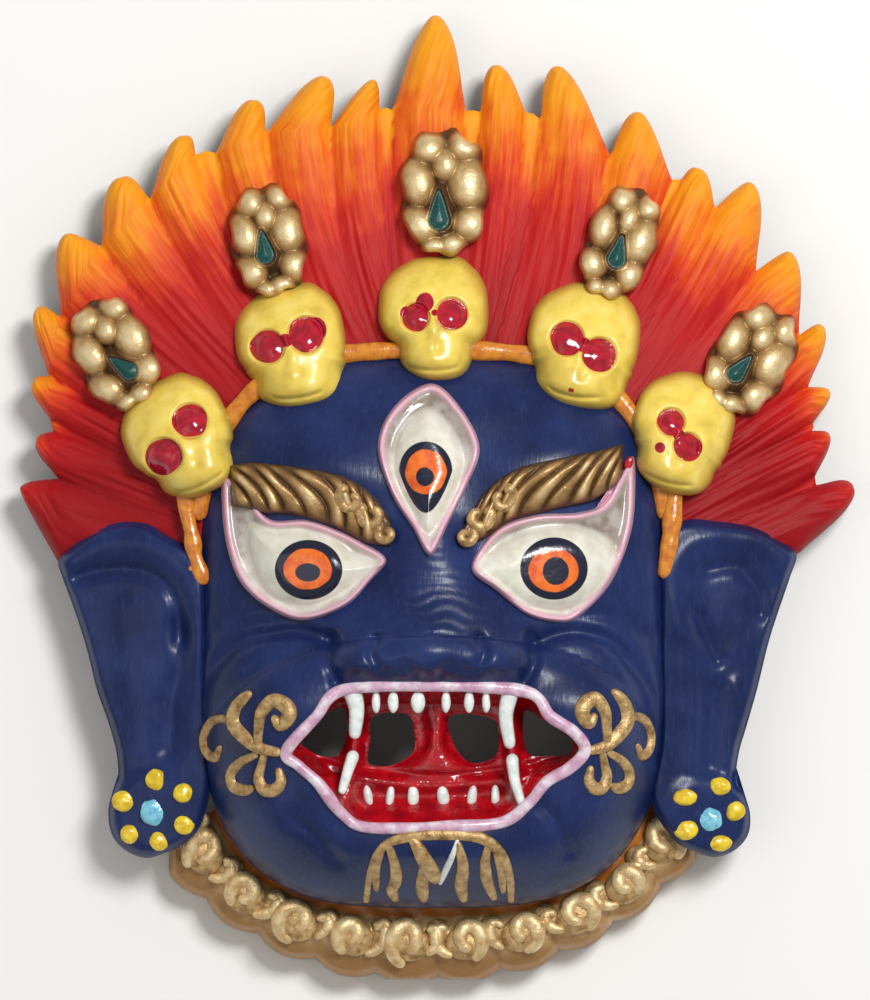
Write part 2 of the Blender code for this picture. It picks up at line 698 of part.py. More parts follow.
def brow(inner, middle, outer, height):
    """Make a brow: diagonal locks of hair side by side, each a ridge across the brow."""
    locks = 8
    columns = 2 * locks
    rows = (-1.0, -0.55, 0.0, 0.55, 1.0)
    grid = []
    for i in range(columns + 1):
        t = i / columns
        bx = (1 - t) ** 2 * inner[0] + 2 * t * (1 - t) * middle[0] + t * t * outer[0]
        by = (1 - t) ** 2 * inner[1] + 2 * t * (1 - t) * middle[1] + t * t * outer[1]
        half = 0.5 * height * (0.55 + 0.45 * math.sin(math.pi * min(1.0, 0.15 + t * 0.8)))
        slant = 2.6 * math.copysign(1.0, inner[0] - outer[0])
        column = []
        for v in rows:
            px = bx + slant * -v
            py = by - 3.0 + half * v
            ridge = (2.8 if i % 2 else 1.2) * (1.0 - v * v) ** 0.5
            column.append((px, py, skin(px, py) + ridge - 0.4))
        grid.append(column)
    points = []
    faces = []
    for column in grid:
        points += column
        points += [(column[-1][0], column[-1][1], column[-1][2] - 2.2), (column[0][0], column[0][1], column[0][2] - 2.2)]
    across = len(rows) + 2
    for i in range(columns):
        for j in range(across):
            a = i * across + j
            b = i * across + (j + 1) % across
            faces.append((a, b, b + across, a + across))
    faces.append(tuple(range(across)))
    faces.append(tuple(range(columns * across, (columns + 1) * across)))
    return new_piece("brow", points, faces)


def hair(points, radius):
    """Make a strand that lies on the face along a smooth line, thickest in its middle."""
    line = smooth_line(points, HAIR_STEPS)
    path = [(x, y, skin(x, y) + 0.4) for x, y in line]
    radii = [radius * (0.8 + 0.35 * math.sin(math.pi * i / (len(line) - 1))) for i in range(len(line))]
    return sweep("strand", path, radii, 5, 0.85)


def scrolls():
    """Make the whisker scrolls at both corners of the mouth."""
    pieces = []
    for root_x, root_y, side in SCROLL_ROOTS:
        for strand in SCROLL:
            pieces.append(hair([(root_x + side * x, root_y + y) for x, y in strand], SCROLL_RADIUS))
    return pieces


def nearest_edge(x, y, loop):
    """Return the distance from a point to a closed line."""
    best = 1e9
    for (ax, ay), (bx, by) in zip(loop, loop[1:] + loop[:1]):
        dx = bx - ax
        dy = by - ay
        t = ((x - ax) * dx + (y - ay) * dy) / (dx * dx + dy * dy)
        t = min(1.0, max(0.0, t))
        best = min(best, math.hypot(x - ax - dx * t, y - ay - dy * t))
    return best


def gum_height(x, y, loop):
    """Return the height of the red inside of the mouth: a floor that slopes up to the lips."""
    depth = nearest_edge(x, y, loop)
    width = 9.0 if y < -86.0 else 5.0
    lip = skin(x, y, False) - 4.0
    return MOUTH_FLOOR_Z + (lip - MOUTH_FLOOR_Z) * (1.0 - smooth_step(0.0, width, depth))


def mouth(body):
    """Add the tray behind the mouth, sink the mouth into it and open its four holes."""
    loop = smooth_loop(MOUTH, 34)
    centre = (-0.8, -80.5)
    wide = [
        (centre[0] + (x - centre[0]) * 1.09, centre[1] + (y - centre[1]) * 1.16)
        for x, y in loop
    ]
    floor = MOUTH_FLOOR_Z - MOUTH_FLOOR / UNIT_Z

    def tray_top(px, py, share):
        return skin(px, py, False) - 2.0

    tray = patch("tray", wide, centre, (0.5, 0.8, 1.0), tray_top, (1.0,), lambda px, py, s: floor)
    apply_boolean(body, tray, "UNION")

    def sink(px, py, share):
        return gum_height(px, py, loop)

    cavity = patch("cavity", loop, centre, (1.0,), lambda px, py, s: 95.0,
                   (1.0, 0.93, 0.82, 0.66, 0.4), sink)
    apply_boolean(body, cavity, "DIFFERENCE")
    holes = []
    for cx, cy, half_w, half_h, taper in MOUTH_HOLES:
        ring = []
        for x, y in oval(cx, cy, half_w, half_h, 0, 12, 3.0):
            ring.append((x, cy + (y - cy) * (1.0 - taper * (x - cx) / half_w)))
        holes.append(patch("hole", ring, (cx, cy), (1.0,), lambda px, py, s: 70.0, (1.0,), lambda px, py, s: 20.0))
    apply_boolean(body, gather("holes", holes), "DIFFERENCE")
    path = [(x, y, skin(x, y) + 0.2) for x, y in smooth_loop(MOUTH, 36)]
    return loop, lip_roll(path)


def lip_roll(path):
    """Make the closed roll of the lips."""
    count = len(path)
    sides = 5
    rings = []
    for i, (x, y, z) in enumerate(path):
        ax, ay, _ = path[i - 1]
        bx, by, _ = path[(i + 1) % count]
        length = math.hypot(bx - ax, by - ay)
        nx = -(by - ay) / length
        ny = (bx - ax) / length
        ring = []
        for j in range(sides):
            a = math.tau * (j + 0.25) / sides
            side = LIP_RADIUS * math.cos(a)
            ring.append((x + nx * side, y + ny * side, z + LIP_RADIUS * 0.9 * math.sin(a)))
        rings.append(ring)
    points = [p for ring in rings for p in ring]
    faces = []
    for i in range(count):
        for j in range(sides):
            a = i * sides + j
            b = i * sides + (j + 1) % sides
            c = ((i + 1) % count) * sides + (j + 1) % sides
            d = ((i + 1) % count) * sides + j
            faces.append((a, b, c, d))
    return new_piece("lips", points, faces)


def teeth(loop):
    """Make the small teeth and the four fangs, and the tongue between the middle holes."""
    pieces = []
    for x in UPPER_TEETH:
        z = skin(x, UPPER_ROOT_Y, False) - 2.5
        path = [(x, UPPER_ROOT_Y, z), (x, UPPER_ROOT_Y - 3.9, z), (x, UPPER_ROOT_Y - TOOTH_LENGTH, z - 0.6)]
        pieces.append(sweep("tooth", path, (1.9, 1.8, 1.1), 5, 1.0))
    for x in LOWER_TEETH:
        path = []
        for y in (LOWER_ROOT_Y, LOWER_ROOT_Y + 3.6, LOWER_ROOT_Y + TOOTH_LENGTH):
            path.append((x, y, gum_height(x, y, loop) + 1.2))
        pieces.append(sweep("tooth", path, (2.0, 1.8, 1.1), 5, 1.0))
    for x0, y0, x1, y1 in FANGS:
        path = []
        for t in (0.0, 0.35, 0.7, 1.0):
            x = x0 + (x1 - x0) * t
            y = y0 + (y1 - y0) * t
            base = skin(x, y0, False) - 3.0 if y0 > -70.0 else skin(x, y0, False) - 4.0
            path.append((x, y, base))
        pieces.append(sweep("fang", path, (2.3, 2.4, 1.9, 1.1), 5, 1.0))
    tongue = []
    radii = []
    for t in (0.0, 0.2, 0.45, 0.7, 1.0):
        y = -63.0 - 26.0 * t
        tongue.append((-1.2 + 2.0 * t, y, MOUTH_FLOOR_Z + 3.0 - 1.0 * t))
        radii.append(3.2 + 4.6 * t * t)
    pieces.append(sweep("tongue", tongue, radii, 6, 0.7))
    for x, lean in ((-25.6, -3.0), (22.6, 2.0)):
        path = [(x + lean * t, -62.0 - 32.0 * t, MOUTH_FLOOR_Z + 6.0) for t in (0.0, 0.33, 0.66, 1.0)]
        pieces.append(sweep("bar", path, (2.4, 1.9, 2.0, 2.8), 6, 1.8))
    return gather("teeth", pieces)


def ear(outer, lobe, side):
    """Make an ear: a dished blade with a rolled helix, above a round lobe."""
    outer = smooth_line(outer, 28)
    rows = len(outer)
    shares = [k / 24 for k in range(25)]
    thick = EAR_THICKNESS / UNIT_Z
    inner_x = HEAD_X + side * (HEAD_HALF_WIDTH - 2.0)
    points = []
    faces = []
    for i, (ox, oy) in enumerate(outer):
        t = i / (rows - 1)
        iy = -10.0 - 82.0 * t ** 1.6
        for s in shares:
            x = inner_x + (ox - inner_x) * s
            y = iy + (oy - iy) * s
            base = plate_height(x, y)
            z = base + 1.0
            z += EAR_ROLL * math.exp(-(((s - 0.9) / 0.1) ** 2))
            z -= EAR_BOWL * math.exp(-(((s - 0.5) / 0.24) ** 2))
            z += 2.0 * math.exp(-(((s - 0.12) / 0.1) ** 2))
            points.append((x, y, z))
        for s in (1.0, 0.75, 0.5, 0.25, 0.0):
            x = inner_x + (ox - inner_x) * s
            y = iy + (oy - iy) * s
            bowl = EAR_BOWL * math.exp(-(((s - 0.5) / 0.24) ** 2))
            points.append((x, y, plate_height(x, y) + 1.0 - bowl - thick))
    across = len(shares) + 5
    for i in range(rows - 1):
        for j in range(across):
            a = i * across + j
            b = i * across + (j + 1) % across
            faces.append((a, b, b + across, a + across))
    faces.append(tuple(range(across)))
    faces.append(tuple(range((rows - 1) * across, rows * across)))
    blade = new_piece("ear", points, faces)
    cx, cy, radius = lobe

    def top(px, py, share):
        return LOBE_Z + 2.0 * math.sqrt(max(0.0, 1.0 - share ** 3))

    disc = patch("lobe", oval(cx, cy, radius, radius, 0, 20), (cx, cy), (0.6, 0.88, 1.0), top, (1.0,),
                 lambda px, py, s: 8.0)
    return [blade, disc]


def stud(x, y, radius):
    """Make one round stud on an ear lobe."""
    def top(px, py, share):
        return LOBE_Z + 1.2 + 2.4 * math.sqrt(max(0.0, 1.0 - share ** 2))

    return patch("stud", oval(x, y, radius, radius, 0, 7), (x, y), (0.65, 1.0), top, (1.0,),
                 lambda px, py, s: LOBE_Z - 2.0)


def collar():
    """Make the collar: a roll of curls round the jaw, scalloped along its outer edge."""
    columns = COLLAR_LOBES * 8
    rows = (0.0, 0.1, 0.2, 0.35, 0.5, 0.65, 0.8, 0.9, 1.0)
    points = []
    faces = []
    for i in range(columns + 1):
        t = i / columns
        angle = math.radians(COLLAR_START + (COLLAR_END - COLLAR_START) * t)
        ix, iy = head_edge(angle, 2.0)
        bulge = abs(math.sin(math.pi * COLLAR_LOBES * t))
        ends = smooth_step(0.0, 0.06, t) * smooth_step(0.0, 0.06, 1.0 - t)
        width = (15.0 + 8.0 * math.sin(math.pi * t) + 3.0 * bulge) * (0.55 + 0.45 * ends)
        c = math.cos(angle)
        s = math.sin(angle)
        for v in rows:
            x = ix + c * width * v
            y = max(-DRAWN_HEIGHT / 2, iy + s * width * v)
            roll = math.sqrt(max(0.0, 1.0 - (2.0 * max(v, 0.18) - 1.0) ** 2 * 0.9))
            strip = smooth_step(0.05, 0.3, v)
            z = 12.0 + (COLLAR_Z - 12.0) * roll * (0.4 + 0.6 * strip) + 3.0 * bulge * strip * (v < 0.9)
            if v == 1.0:
                z = 8.0
            points.append((x, y, z))
        points.append((ix + c * width, max(-DRAWN_HEIGHT / 2, iy + s * width), FOOT_Z))
        points.append((ix, iy, FOOT_Z))
    across = len(rows) + 2
    for i in range(columns):
        for j in range(across):
            a = i * across + j
            b = i * across + (j + 1) % across
            faces.append((a, b, b + across, a + across))
    faces.append(tuple(range(across)))
    faces.append(tuple(range(columns * across, (columns + 1) * across)))
    return new_piece("collar", points, faces)


def band():
    """Make the diadem band that follows the top of the head behind the skulls."""
    path = []
    steps = 30
    for i in range(steps + 1):
        angle = math.radians(12.0 + 156.0 * i / steps)
        x, y = head_edge(angle, 0.5)
        path.append((x, y, FLAME_ROOT_Z + 1.5))
    path.insert(0, (71.5, -25.0, FLAME_ROOT_Z + 0.5))
    path.append((-72.8, -26.0, FLAME_ROOT_Z + 0.5))
    radii = [2.2] * len(path)
    return sweep("band", path, radii, 6, 1.4)


def painted_moulding():
    """Return the material of the moulding: glossy deep blue paint."""
    material = bpy.data.materials.new("painted moulding")
    material.use_nodes = True
    shader = material.node_tree.nodes["Principled BSDF"]
    shader.inputs["Base Color"].default_value = (0.014, 0.024, 0.105, 1.0)
    shader.inputs["Roughness"].default_value = 0.35
    shader.inputs["Metallic"].default_value = 0.0
    return material


def fuse(body):
    """Melt the joined forms into one skin and lay it out in few facets."""
    melt = body.modifiers.new("melt", "REMESH")
    melt.mode = "VOXEL"
    melt.voxel_size = GRAIN
    apply_step(body, melt)
    thin = body.modifiers.new("thin", "DECIMATE")
    thin.ratio = FACETS / sum(len(face.vertices) - 2 for face in body.data.polygons)
    apply_step(body, thin)


def level_foot(body):
    """Cut the foot flat at height 0 and bring the box to the driving sizes."""
    block = patch("block", oval(0, 0, DRAWN_WIDTH, DRAWN_HEIGHT, 0, 8), (0, 0), (1.0,), lambda x, y, s: 0.0,
                  (1.0,), lambda x, y, s: -DRAWN_DEPTH)
    apply_boolean(body, block, "DIFFERENCE")
    low = [min(v.co[k] for v in body.data.vertices) for k in range(3)]
    high = [max(v.co[k] for v in body.data.vertices) for k in range(3)]
    size = (MASK_WIDTH, MASK_HEIGHT, MASK_DEPTH)
    for v in body.data.vertices:
        for k in range(3):
            share = (v.co[k] - low[k]) / (high[k] - low[k])
            v.co[k] = size[k] * (share if k == 2 else share - 0.5)
    print("drawn box in mm", [round(1000 * v, 1) for v in low + high])


def build_mask():
    """Join all carving into the one hollow moulding."""
    body = head_shell()
    loop, lips = mouth(body)
    forms = [body, flame_fan(), collar(), band(), lips, teeth(loop)]
    forms += ear(LEFT_EAR, LOBES[0], -1.0) + ear(RIGHT_EAR, LOBES[1], 1.0)
    forms += [skull(*row) for row in SKULLS]
    for row in ORNAMENTS:
        forms += ornament(*row)
    forms += [eye(points, iris) for points, iris in zip((LEFT_EYE, RIGHT_EYE, THIRD_EYE), IRISES)]
    forms += [brow(*row) for row in BROWS]
    forms += scrolls()
    forms += [hair(strand, BEARD_RADIUS) for strand in BEARD]
    forms += [stud(*row) for row in STUDS]
    body = gather("mask", forms)
    fuse(body)
    level_foot(body)
    body.data.materials.clear()
    body.data.materials.append(painted_moulding())
    return body


for old_object in list(bpy.data.objects):
    bpy.data.objects.remove(old_object)
build_mask()
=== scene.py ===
# %% [markdown]
# # A painted wall mask
# The real object is one moulding of paper pulp: a hollow head with ears, a fan of flames, a
# crown of skulls and a curled collar. It is brushed with gloss enamel in strong colours.
# It could be sculpted freely. Here each form is a height law over a drawn outline, so that
# any of its sizes can be changed later.

# %% Load the frame
import math

import bmesh
import bpy
import numpy as np
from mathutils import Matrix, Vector, noise


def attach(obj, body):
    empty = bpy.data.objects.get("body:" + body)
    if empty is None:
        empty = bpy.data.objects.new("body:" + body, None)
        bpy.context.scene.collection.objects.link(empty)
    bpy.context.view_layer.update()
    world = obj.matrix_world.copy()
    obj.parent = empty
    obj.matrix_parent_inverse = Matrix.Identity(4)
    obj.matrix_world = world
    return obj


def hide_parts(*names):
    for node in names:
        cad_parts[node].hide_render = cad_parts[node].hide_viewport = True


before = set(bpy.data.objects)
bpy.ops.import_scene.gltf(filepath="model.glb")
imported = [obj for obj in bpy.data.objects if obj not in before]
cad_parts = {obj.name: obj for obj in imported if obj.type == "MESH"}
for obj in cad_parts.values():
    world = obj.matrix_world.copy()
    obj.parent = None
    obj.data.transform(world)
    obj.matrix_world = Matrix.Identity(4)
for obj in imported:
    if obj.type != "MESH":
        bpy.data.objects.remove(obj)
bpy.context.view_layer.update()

# %% [markdown]
# ## Drawing in millimetres
# All forms are drawn in millimetres, seen square on, and turned into metres at the end. A
# camera at three metres sees high places a little larger, so points are drawn in towards
# its axis by the same share and land where they were measured.

# %% Drawing scale
VIEW_DISTANCE = 3000.0
AIM = (-0.8, -0.8)


def to_metres(points):
    """Turn drawn points into metres, drawn in towards the camera's axis by their height."""
    p = np.array(points, dtype=float)
    share = 1.0 - p[..., 2] / VIEW_DISTANCE
    out = np.empty_like(p)
    out[..., 0] = AIM[0] + (p[..., 0] - AIM[0]) * share
    out[..., 1] = AIM[1] + (p[..., 1] - AIM[1]) * share
    out[..., 2] = p[..., 2]
    return out * 0.001


print("camera", VIEW_DISTANCE, "mm above, a form 50 mm high is drawn in by",
      round(100 * 50.0 / VIEW_DISTANCE, 2), "%")

# %% [markdown]
# Outlines are given by a few points, and a smooth curve runs through them. The distance from
# such a line gives rounded edges, pressed creases and crisp borders of paint. A soft noise
# makes hand-laid forms slightly uneven.

# %% Lines and unevenness
def smooth_step(low, high, value):
    """Rise smoothly from 0 at low to 1 at high."""
    t = np.clip((value - low) / (high - low), 0.0, 1.0)
    return t * t * (3.0 - 2.0 * t)


def through(points, count, closed):
    """Run a smooth curve through a few points."""
    p = np.array(points, dtype=float)
    n = len(p)
    steps = n if closed else n - 1
    f = np.arange(count) * steps / (count if closed else count - 1)
    i = np.minimum(f.astype(int), steps - 1)
    t = (f - i)[:, None]
    if closed:
        a, b, c, d = (p[(i + k) % n] for k in (-1, 0, 1, 2))
    else:
        a, b, c, d = (p[np.clip(i + k, 0, n - 1)] for k in (-1, 0, 1, 2))
    return 0.5 * (2 * b + (c - a) * t + (2 * a - 5 * b + 4 * c - d) * t ** 2
                  + (3 * b - a - 3 * c + d) * t ** 3)


def far_from(x, y, line, closed=False):
    """Return the distance of each point from a line of points."""
    line = np.array(line, dtype=float)
    ends = np.roll(line, -1, axis=0) if closed else line[1:]
    best = np.full(np.shape(x), 1e9)
    for (ax, ay), (bx, by) in zip(line if closed else line[:-1], ends):
        dx, dy = bx - ax, by - ay
        t = np.clip(((x - ax) * dx + (y - ay) * dy) / (dx * dx + dy * dy), 0.0, 1.0)
        best = np.minimum(best, np.hypot(x - ax - dx * t, y - ay - dy * t))
    return best


def ripple(x, y, size, seed=0.0):
    """Return a soft seeded noise, from about -1 to 1, with waves of a given size."""
    shape = np.shape(x)
    flat = zip(np.ravel(x) / size, np.ravel(y) / size)
    return np.array([noise.noise((u, v, seed)) for u, v in flat]).reshape(shape) * 1.6


print("the place 3, 4 lies", float(far_from(3.0, 4.0, [(0, 0), (10, 0)])), "mm from a line along x")

# %% [markdown]
# ## Meshes from rings and grids
# Most pieces are reliefs: rings of one outline are laid over a height law and closed below,
# as clay is pressed onto a ground. The law is free, so one builder makes ears, skulls, eyes
# and jewels alike.

# %% Mesh builders
def put(name, data):
    """Make an object from its data and put it into the scene."""
    thing = bpy.data.objects.new(name, data)
    bpy.context.scene.collection.objects.link(thing)
    return thing


def frozen(piece):
    """Return the plain mesh that a piece has with its modifiers applied."""
    bpy.context.view_layer.update()
    graph = bpy.context.evaluated_depsgraph_get()
    return bpy.data.meshes.new_from_object(piece.evaluated_get(graph))


def new_mesh(name, points, faces, fields=None):
    """Make an object from drawn points and keep a few values per point for its paint."""
    mesh = bpy.data.meshes.new(name)
    mesh.from_pydata(to_metres(points).tolist(), [], faces)
    for key, values in (fields or {}).items():
        layer = mesh.attributes.new(key, "FLOAT", "POINT")
        layer.data.foreach_set("value", np.array(values, dtype=np.float32))
    work = bmesh.new()
    work.from_mesh(mesh)
    bmesh.ops.remove_doubles(work, verts=work.verts, dist=0.000002)
    bmesh.ops.recalc_face_normals(work, faces=work.faces)
    work.to_mesh(mesh)
    work.free()
    return put(name, mesh)


print("helpers:", put.__name__, frozen.__name__, new_mesh.__name__)

# %% [markdown]
# A relief keeps straight rows of faces between its rings, so its edges stay clean. Each ring
# is the outline, drawn in to the centre by a share.

# %% Rings, grids and reliefs
def ring_faces(rings, count, capped=True):
    """Join rings of points with four-sided faces; two points after them close the ends."""
    faces = [(a + i, a + (i + 1) % count, a + count + (i + 1) % count, a + count + i)
             for a in range(0, (rings - 1) * count, count) for i in range(count)]
    if capped:
        high = rings * count
        last = high - count
        faces += [(high, (i + 1) % count, i) for i in range(count)]
        faces += [(high + 1, last + i, last + (i + 1) % count) for i in range(count)]
    return faces


def grid_faces(rows, columns, first=0, flip=False):
    """Join a grid of points with four-sided faces."""
    faces = []
    for a in range(first, first + (rows - 1) * columns, columns):
        for j in range(a, a + columns - 1):
            quad = (j, j + 1, j + columns + 1, j + columns)
            faces.append(quad[::-1] if flip else quad)
    return faces


def flat_list(x, y, z):
    """Stack the places of a grid into one list of points."""
    return np.stack([x, y, z], axis=-1).reshape(-1, 3)


def relief(name, outline, centre, shares, top, under, fields=None):
    """Lay rings of an outline over a height law and close them with another law below."""
    line = np.array(outline)
    parts = []
    for rows, law in ((np.array(shares), top), (np.array([1.0, 0.8, 0.4]), under)):
        share = np.repeat(rows[:, None], len(line), axis=1)
        x = centre[0] + (line[:, 0] - centre[0]) * share
        y = centre[1] + (line[:, 1] - centre[1]) * share
        parts.append((x, y, law(x, y, share) + 0.0 * x, share))
    mid = np.array([centre[0]]), np.array([centre[1]]), np.array([0.0])
    ends = [[centre[0], centre[1], float(np.ravel(law(*mid))[0])] for law in (top, under)]
    points = np.vstack([flat_list(*p[:3]) for p in parts] + [ends])
    x, y = points[:, 0], points[:, 1]
    share = np.concatenate([p[3].ravel() for p in parts] + [np.zeros(2)])
    kept = {key: law(x, y, share) + 0.0 * x for key, law in (fields or {}).items()}
    return new_mesh(name, points, ring_faces(len(shares) + 3, len(line)), kept)


print("a grid of 3 by 4 points has", len(grid_faces(3, 4)), "faces")

# %% [markdown]
# Small forms are drawn upright and then turned into place. Holes are cut with blocks, which
# are dropped afterwards.

# %% Turn, join and cut
def turned(x, y, centre, turn):
    """Return places along the axes of a shape that is turned by some degrees about its centre."""
    a = math.radians(turn)
    dx, dy = x - centre[0], y - centre[1]
    return dx * math.cos(a) + dy * math.sin(a), dy * math.cos(a) - dx * math.sin(a)


def placed(u, v, centre, turn):
    """Return the opposite: the points of a shape moved to its centre and turned."""
    a = math.radians(turn)
    x, y = u * math.cos(a) - v * math.sin(a), u * math.sin(a) + v * math.cos(a)
    return np.stack([centre[0] + x, centre[1] + y], axis=-1)


def join(name, pieces):
    """Join several objects into one."""
    work = bmesh.new()
    for piece in pieces:
        work.from_mesh(piece.data)
        bpy.data.objects.remove(piece)
    mesh = bpy.data.meshes.new(name)
    work.to_mesh(mesh)
    work.free()
    return put(name, mesh)


def cut(body, tool):
    """Cut the body with a tool and drop the tool."""
    step = body.modifiers.new("cut", "BOOLEAN")
    step.operation = "DIFFERENCE"
    step.solver = "EXACT"
    step.object = tool
    mesh = frozen(body)
    body.modifiers.remove(step)
    body.data = mesh
    bpy.data.objects.remove(tool)


print("10, 0 turned by 90 degrees is", placed(10.0, 0.0, (0.0, 0.0), 90.0).round(3))

# %% [markdown]
# ## Rolls and drops
# Hair, curls, teeth and studs repeat two gestures: a roll of pulp laid along a line and a
# drop of thick paint. Two node trees make them. One sweeps a round section along every line
# and takes its thickness from the line's points. The other sets a small ball on every point,
# then stretches and turns it.

# %% Node trees for rolls and drops
def add(tree, kind, links=None, **settings):
    """Add a node with its settings; links fills its inputs with values or with other outputs."""
    node = tree.nodes.new(kind)
    for key, value in settings.items():
        setattr(node, key, value)
    for key, value in (links or {}).items():
        if isinstance(value, bpy.types.NodeSocket):
            tree.links.new(value, node.inputs[key])
        else:
            node.inputs[key].default_value = value
    return node


def start_tree(name, inputs):
    """Start a geometry node tree with named inputs and return it with their outputs."""
    tree = bpy.data.node_groups.new(name, "GeometryNodeTree")
    for key, kind in inputs.items():
        tree.interface.new_socket(key, in_out="INPUT", socket_type="NodeSocket" + kind)
    tree.interface.new_socket("Result", in_out="OUTPUT", socket_type="NodeSocketGeometry")
    return tree, tree.nodes.new("NodeGroupInput").outputs


def stored(tree, name, kind):
    """Read a value that the drawn points keep."""
    return add(tree, "GeometryNodeInputNamedAttribute", {"Name": name}, data_type=kind).outputs[0]


def finish_tree(tree, start, shape):
    """End a tree in plain geometry with its material."""
    plain = add(tree, "GeometryNodeRealizeInstances", {0: shape})
    paint = add(tree, "GeometryNodeSetMaterial", {"Geometry": plain.outputs[0], "Material": start["Paint"]})
    add(tree, "NodeGroupOutput", {0: paint.outputs[0]})
    return tree


def roll_tree():
    """Make the tree that sweeps a flattened circle along every line."""
    tree, start = start_tree("rolls along lines", {
        "Lines": "Geometry", "Sides": "Int", "Flatness": "Float", "Paint": "Material"})
    thick = stored(tree, "thick", "FLOAT")
    curve = add(tree, "GeometryNodeMeshToCurve", {0: start["Lines"]})
    upright = add(tree, "GeometryNodeSetCurveNormal", {0: curve.outputs[0]}, mode="Z_UP")
    sized = add(tree, "GeometryNodeSetCurveRadius", {0: upright.outputs[0], "Radius": thick})
    circle = add(tree, "GeometryNodeCurvePrimitiveCircle", {"Resolution": start["Sides"], "Radius": 1.0})
    squash = add(tree, "ShaderNodeCombineXYZ", {0: 1.0, 1: start["Flatness"], 2: 1.0})
    section = add(tree, "GeometryNodeTransform", {0: circle.outputs[0], "Scale": squash.outputs[0]})
    sweep = add(tree, "GeometryNodeCurveToMesh", {
        "Curve": sized.outputs[0], "Profile Curve": section.outputs[0], "Fill Caps": True, "Scale": thick})
    return finish_tree(tree, start, sweep.outputs[0])


def drop_tree():
    """Make the tree that sets a stretched and turned ball on every point."""
    tree, start = start_tree("drops on points", {
        "Points": "Geometry", "Segments": "Int", "Unevenness": "Float", "Paint": "Material"})
    ball = add(tree, "GeometryNodeMeshUVSphere", {
        "Segments": start["Segments"], "Rings": start["Segments"], "Radius": 1.0})
    turn = add(tree, "FunctionNodeEulerToRotation", {0: stored(tree, "turn", "FLOAT_VECTOR")})
    copies = add(tree, "GeometryNodeInstanceOnPoints", {
        "Points": start["Points"], "Instance": ball.outputs[0], "Rotation": turn.outputs[0],
        "Scale": stored(tree, "size", "FLOAT_VECTOR")})
    plain = add(tree, "GeometryNodeRealizeInstances", {0: copies.outputs[0]})
    waves = add(tree, "ShaderNodeTexNoise", {"Scale": 330.0})
    centred = add(tree, "ShaderNodeVectorMath", {0: waves.outputs["Color"], 1: (0.5, 0.5, 0.5)},
                  operation="SUBTRACT")
    amount = add(tree, "ShaderNodeVectorMath", {0: centred.outputs[0], "Scale": start["Unevenness"]},
                 operation="SCALE")
    move = add(tree, "GeometryNodeSetPosition", {0: plain.outputs[0], "Offset": amount.outputs[0]})
    return finish_tree(tree, start, move.outputs[0])


ROLLS = roll_tree()
DROPS = drop_tree()
print("node trees", [tree.name for tree in bpy.data.node_groups])

# %% [markdown]
# A tree runs over a few drawn points that keep their thickness or size. Its result is turned
# into a plain mesh at once, so nothing is left to be worked out when the mask is used.

# %% Run the trees
def grow(name, points, edges, values, tree, settings):
    """Run a tree over drawn points and return the result as a plain object."""
    mesh = bpy.data.meshes.new(name)
    mesh.from_pydata(to_metres(points).tolist(), edges, [])
    for key, (kind, numbers) in values.items():
        layer = mesh.attributes.new(key, kind, "POINT")
        numbers = np.array(numbers, dtype=np.float32).ravel()
        layer.data.foreach_set("value" if kind == "FLOAT" else "vector", numbers)
    source = put(name, mesh)
    step = source.modifiers.new("grow", "NODES")
    step.node_group = tree
    for item in tree.interface.items_tree:
        if item.in_out == "INPUT" and item.name in settings:
            step[item.identifier] = settings[item.name]
    plain = frozen(source)
    bpy.data.objects.remove(source)
    return put(name, plain)


def rolls(name, lines, paint, flatness=0.8, sides=12):
    """Make rolls along lines; each line is its points and their radii, and ends are rounded."""
    points, radii, edges = [], [], []
    for path, widths in lines:
        path = np.array(path, dtype=float)
        widths = np.array(widths, dtype=float) * np.ones(len(path))
        ends = []
        for end, inner in ((0, 1), (-1, -2)):
            way = path[end] - path[inner]
            way = way / (np.linalg.norm(way) + 1e-9)
            reach = np.array((0.55, 0.88, 0.99))
            cap = path[end] + way * reach[:, None] * widths[end]
            ends.append((cap, widths[end] * np.sqrt(1.0 - reach ** 2)))
        path = np.vstack([ends[0][0][::-1], path, ends[1][0]])
        widths = np.concatenate([ends[0][1][::-1], widths, ends[1][1]])
        first = len(points)
        points += path.tolist()
        radii += (widths * 0.001).tolist()
        edges += [(first + k, first + k + 1) for k in range(len(path) - 1)]
    return grow(name, points, edges, {"thick": ("FLOAT", radii)}, ROLLS,
                {"Sides": sides, "Flatness": flatness, "Paint": paint})


def drops(name, rows, paint, segments=20, uneven=0.3):
    """Set drops down; each row is x, y, z, three half sizes in mm and a turn in degrees."""
    rows = np.array(rows, dtype=float)
    turns = np.zeros((len(rows), 3))
    turns[:, 2] = np.radians(rows[:, 6])
    values = {"size": ("FLOAT_VECTOR", rows[:, 3:6] * 0.001), "turn": ("FLOAT_VECTOR", turns)}
    settings = {"Segments": segments, "Unevenness": uneven * 0.001, "Paint": paint}
    return grow(name, rows[:, :3], [], values, DROPS, settings)


print("helpers:", grow.__name__, rolls.__name__, drops.__name__)

# %% [markdown]
# ## Paints
# The whole mask is brushed with gloss enamel, which levels a little and keeps soft ridges
# from the hairs of the brush. Each paint is a Principled shader whose colour wanders
# slightly, as hand-laid paint does, with a fine bump for the brush marks.

# %% Paint helpers
def colour(hex_code):
    """Turn an sRGB hex colour into the linear one that shaders use."""
    values = [int(hex_code[k:k + 2], 16) / 255.0 for k in (1, 3, 5)]
    return tuple(v / 12.92 if v <= 0.04045 else ((v + 0.055) / 1.055) ** 2.4 for v in values) + (1.0,)


def calc(tree, operation, *values):
    """Work out one step with numbers and outputs."""
    return add(tree, "ShaderNodeMath", dict(enumerate(values)), operation=operation).outputs[0]


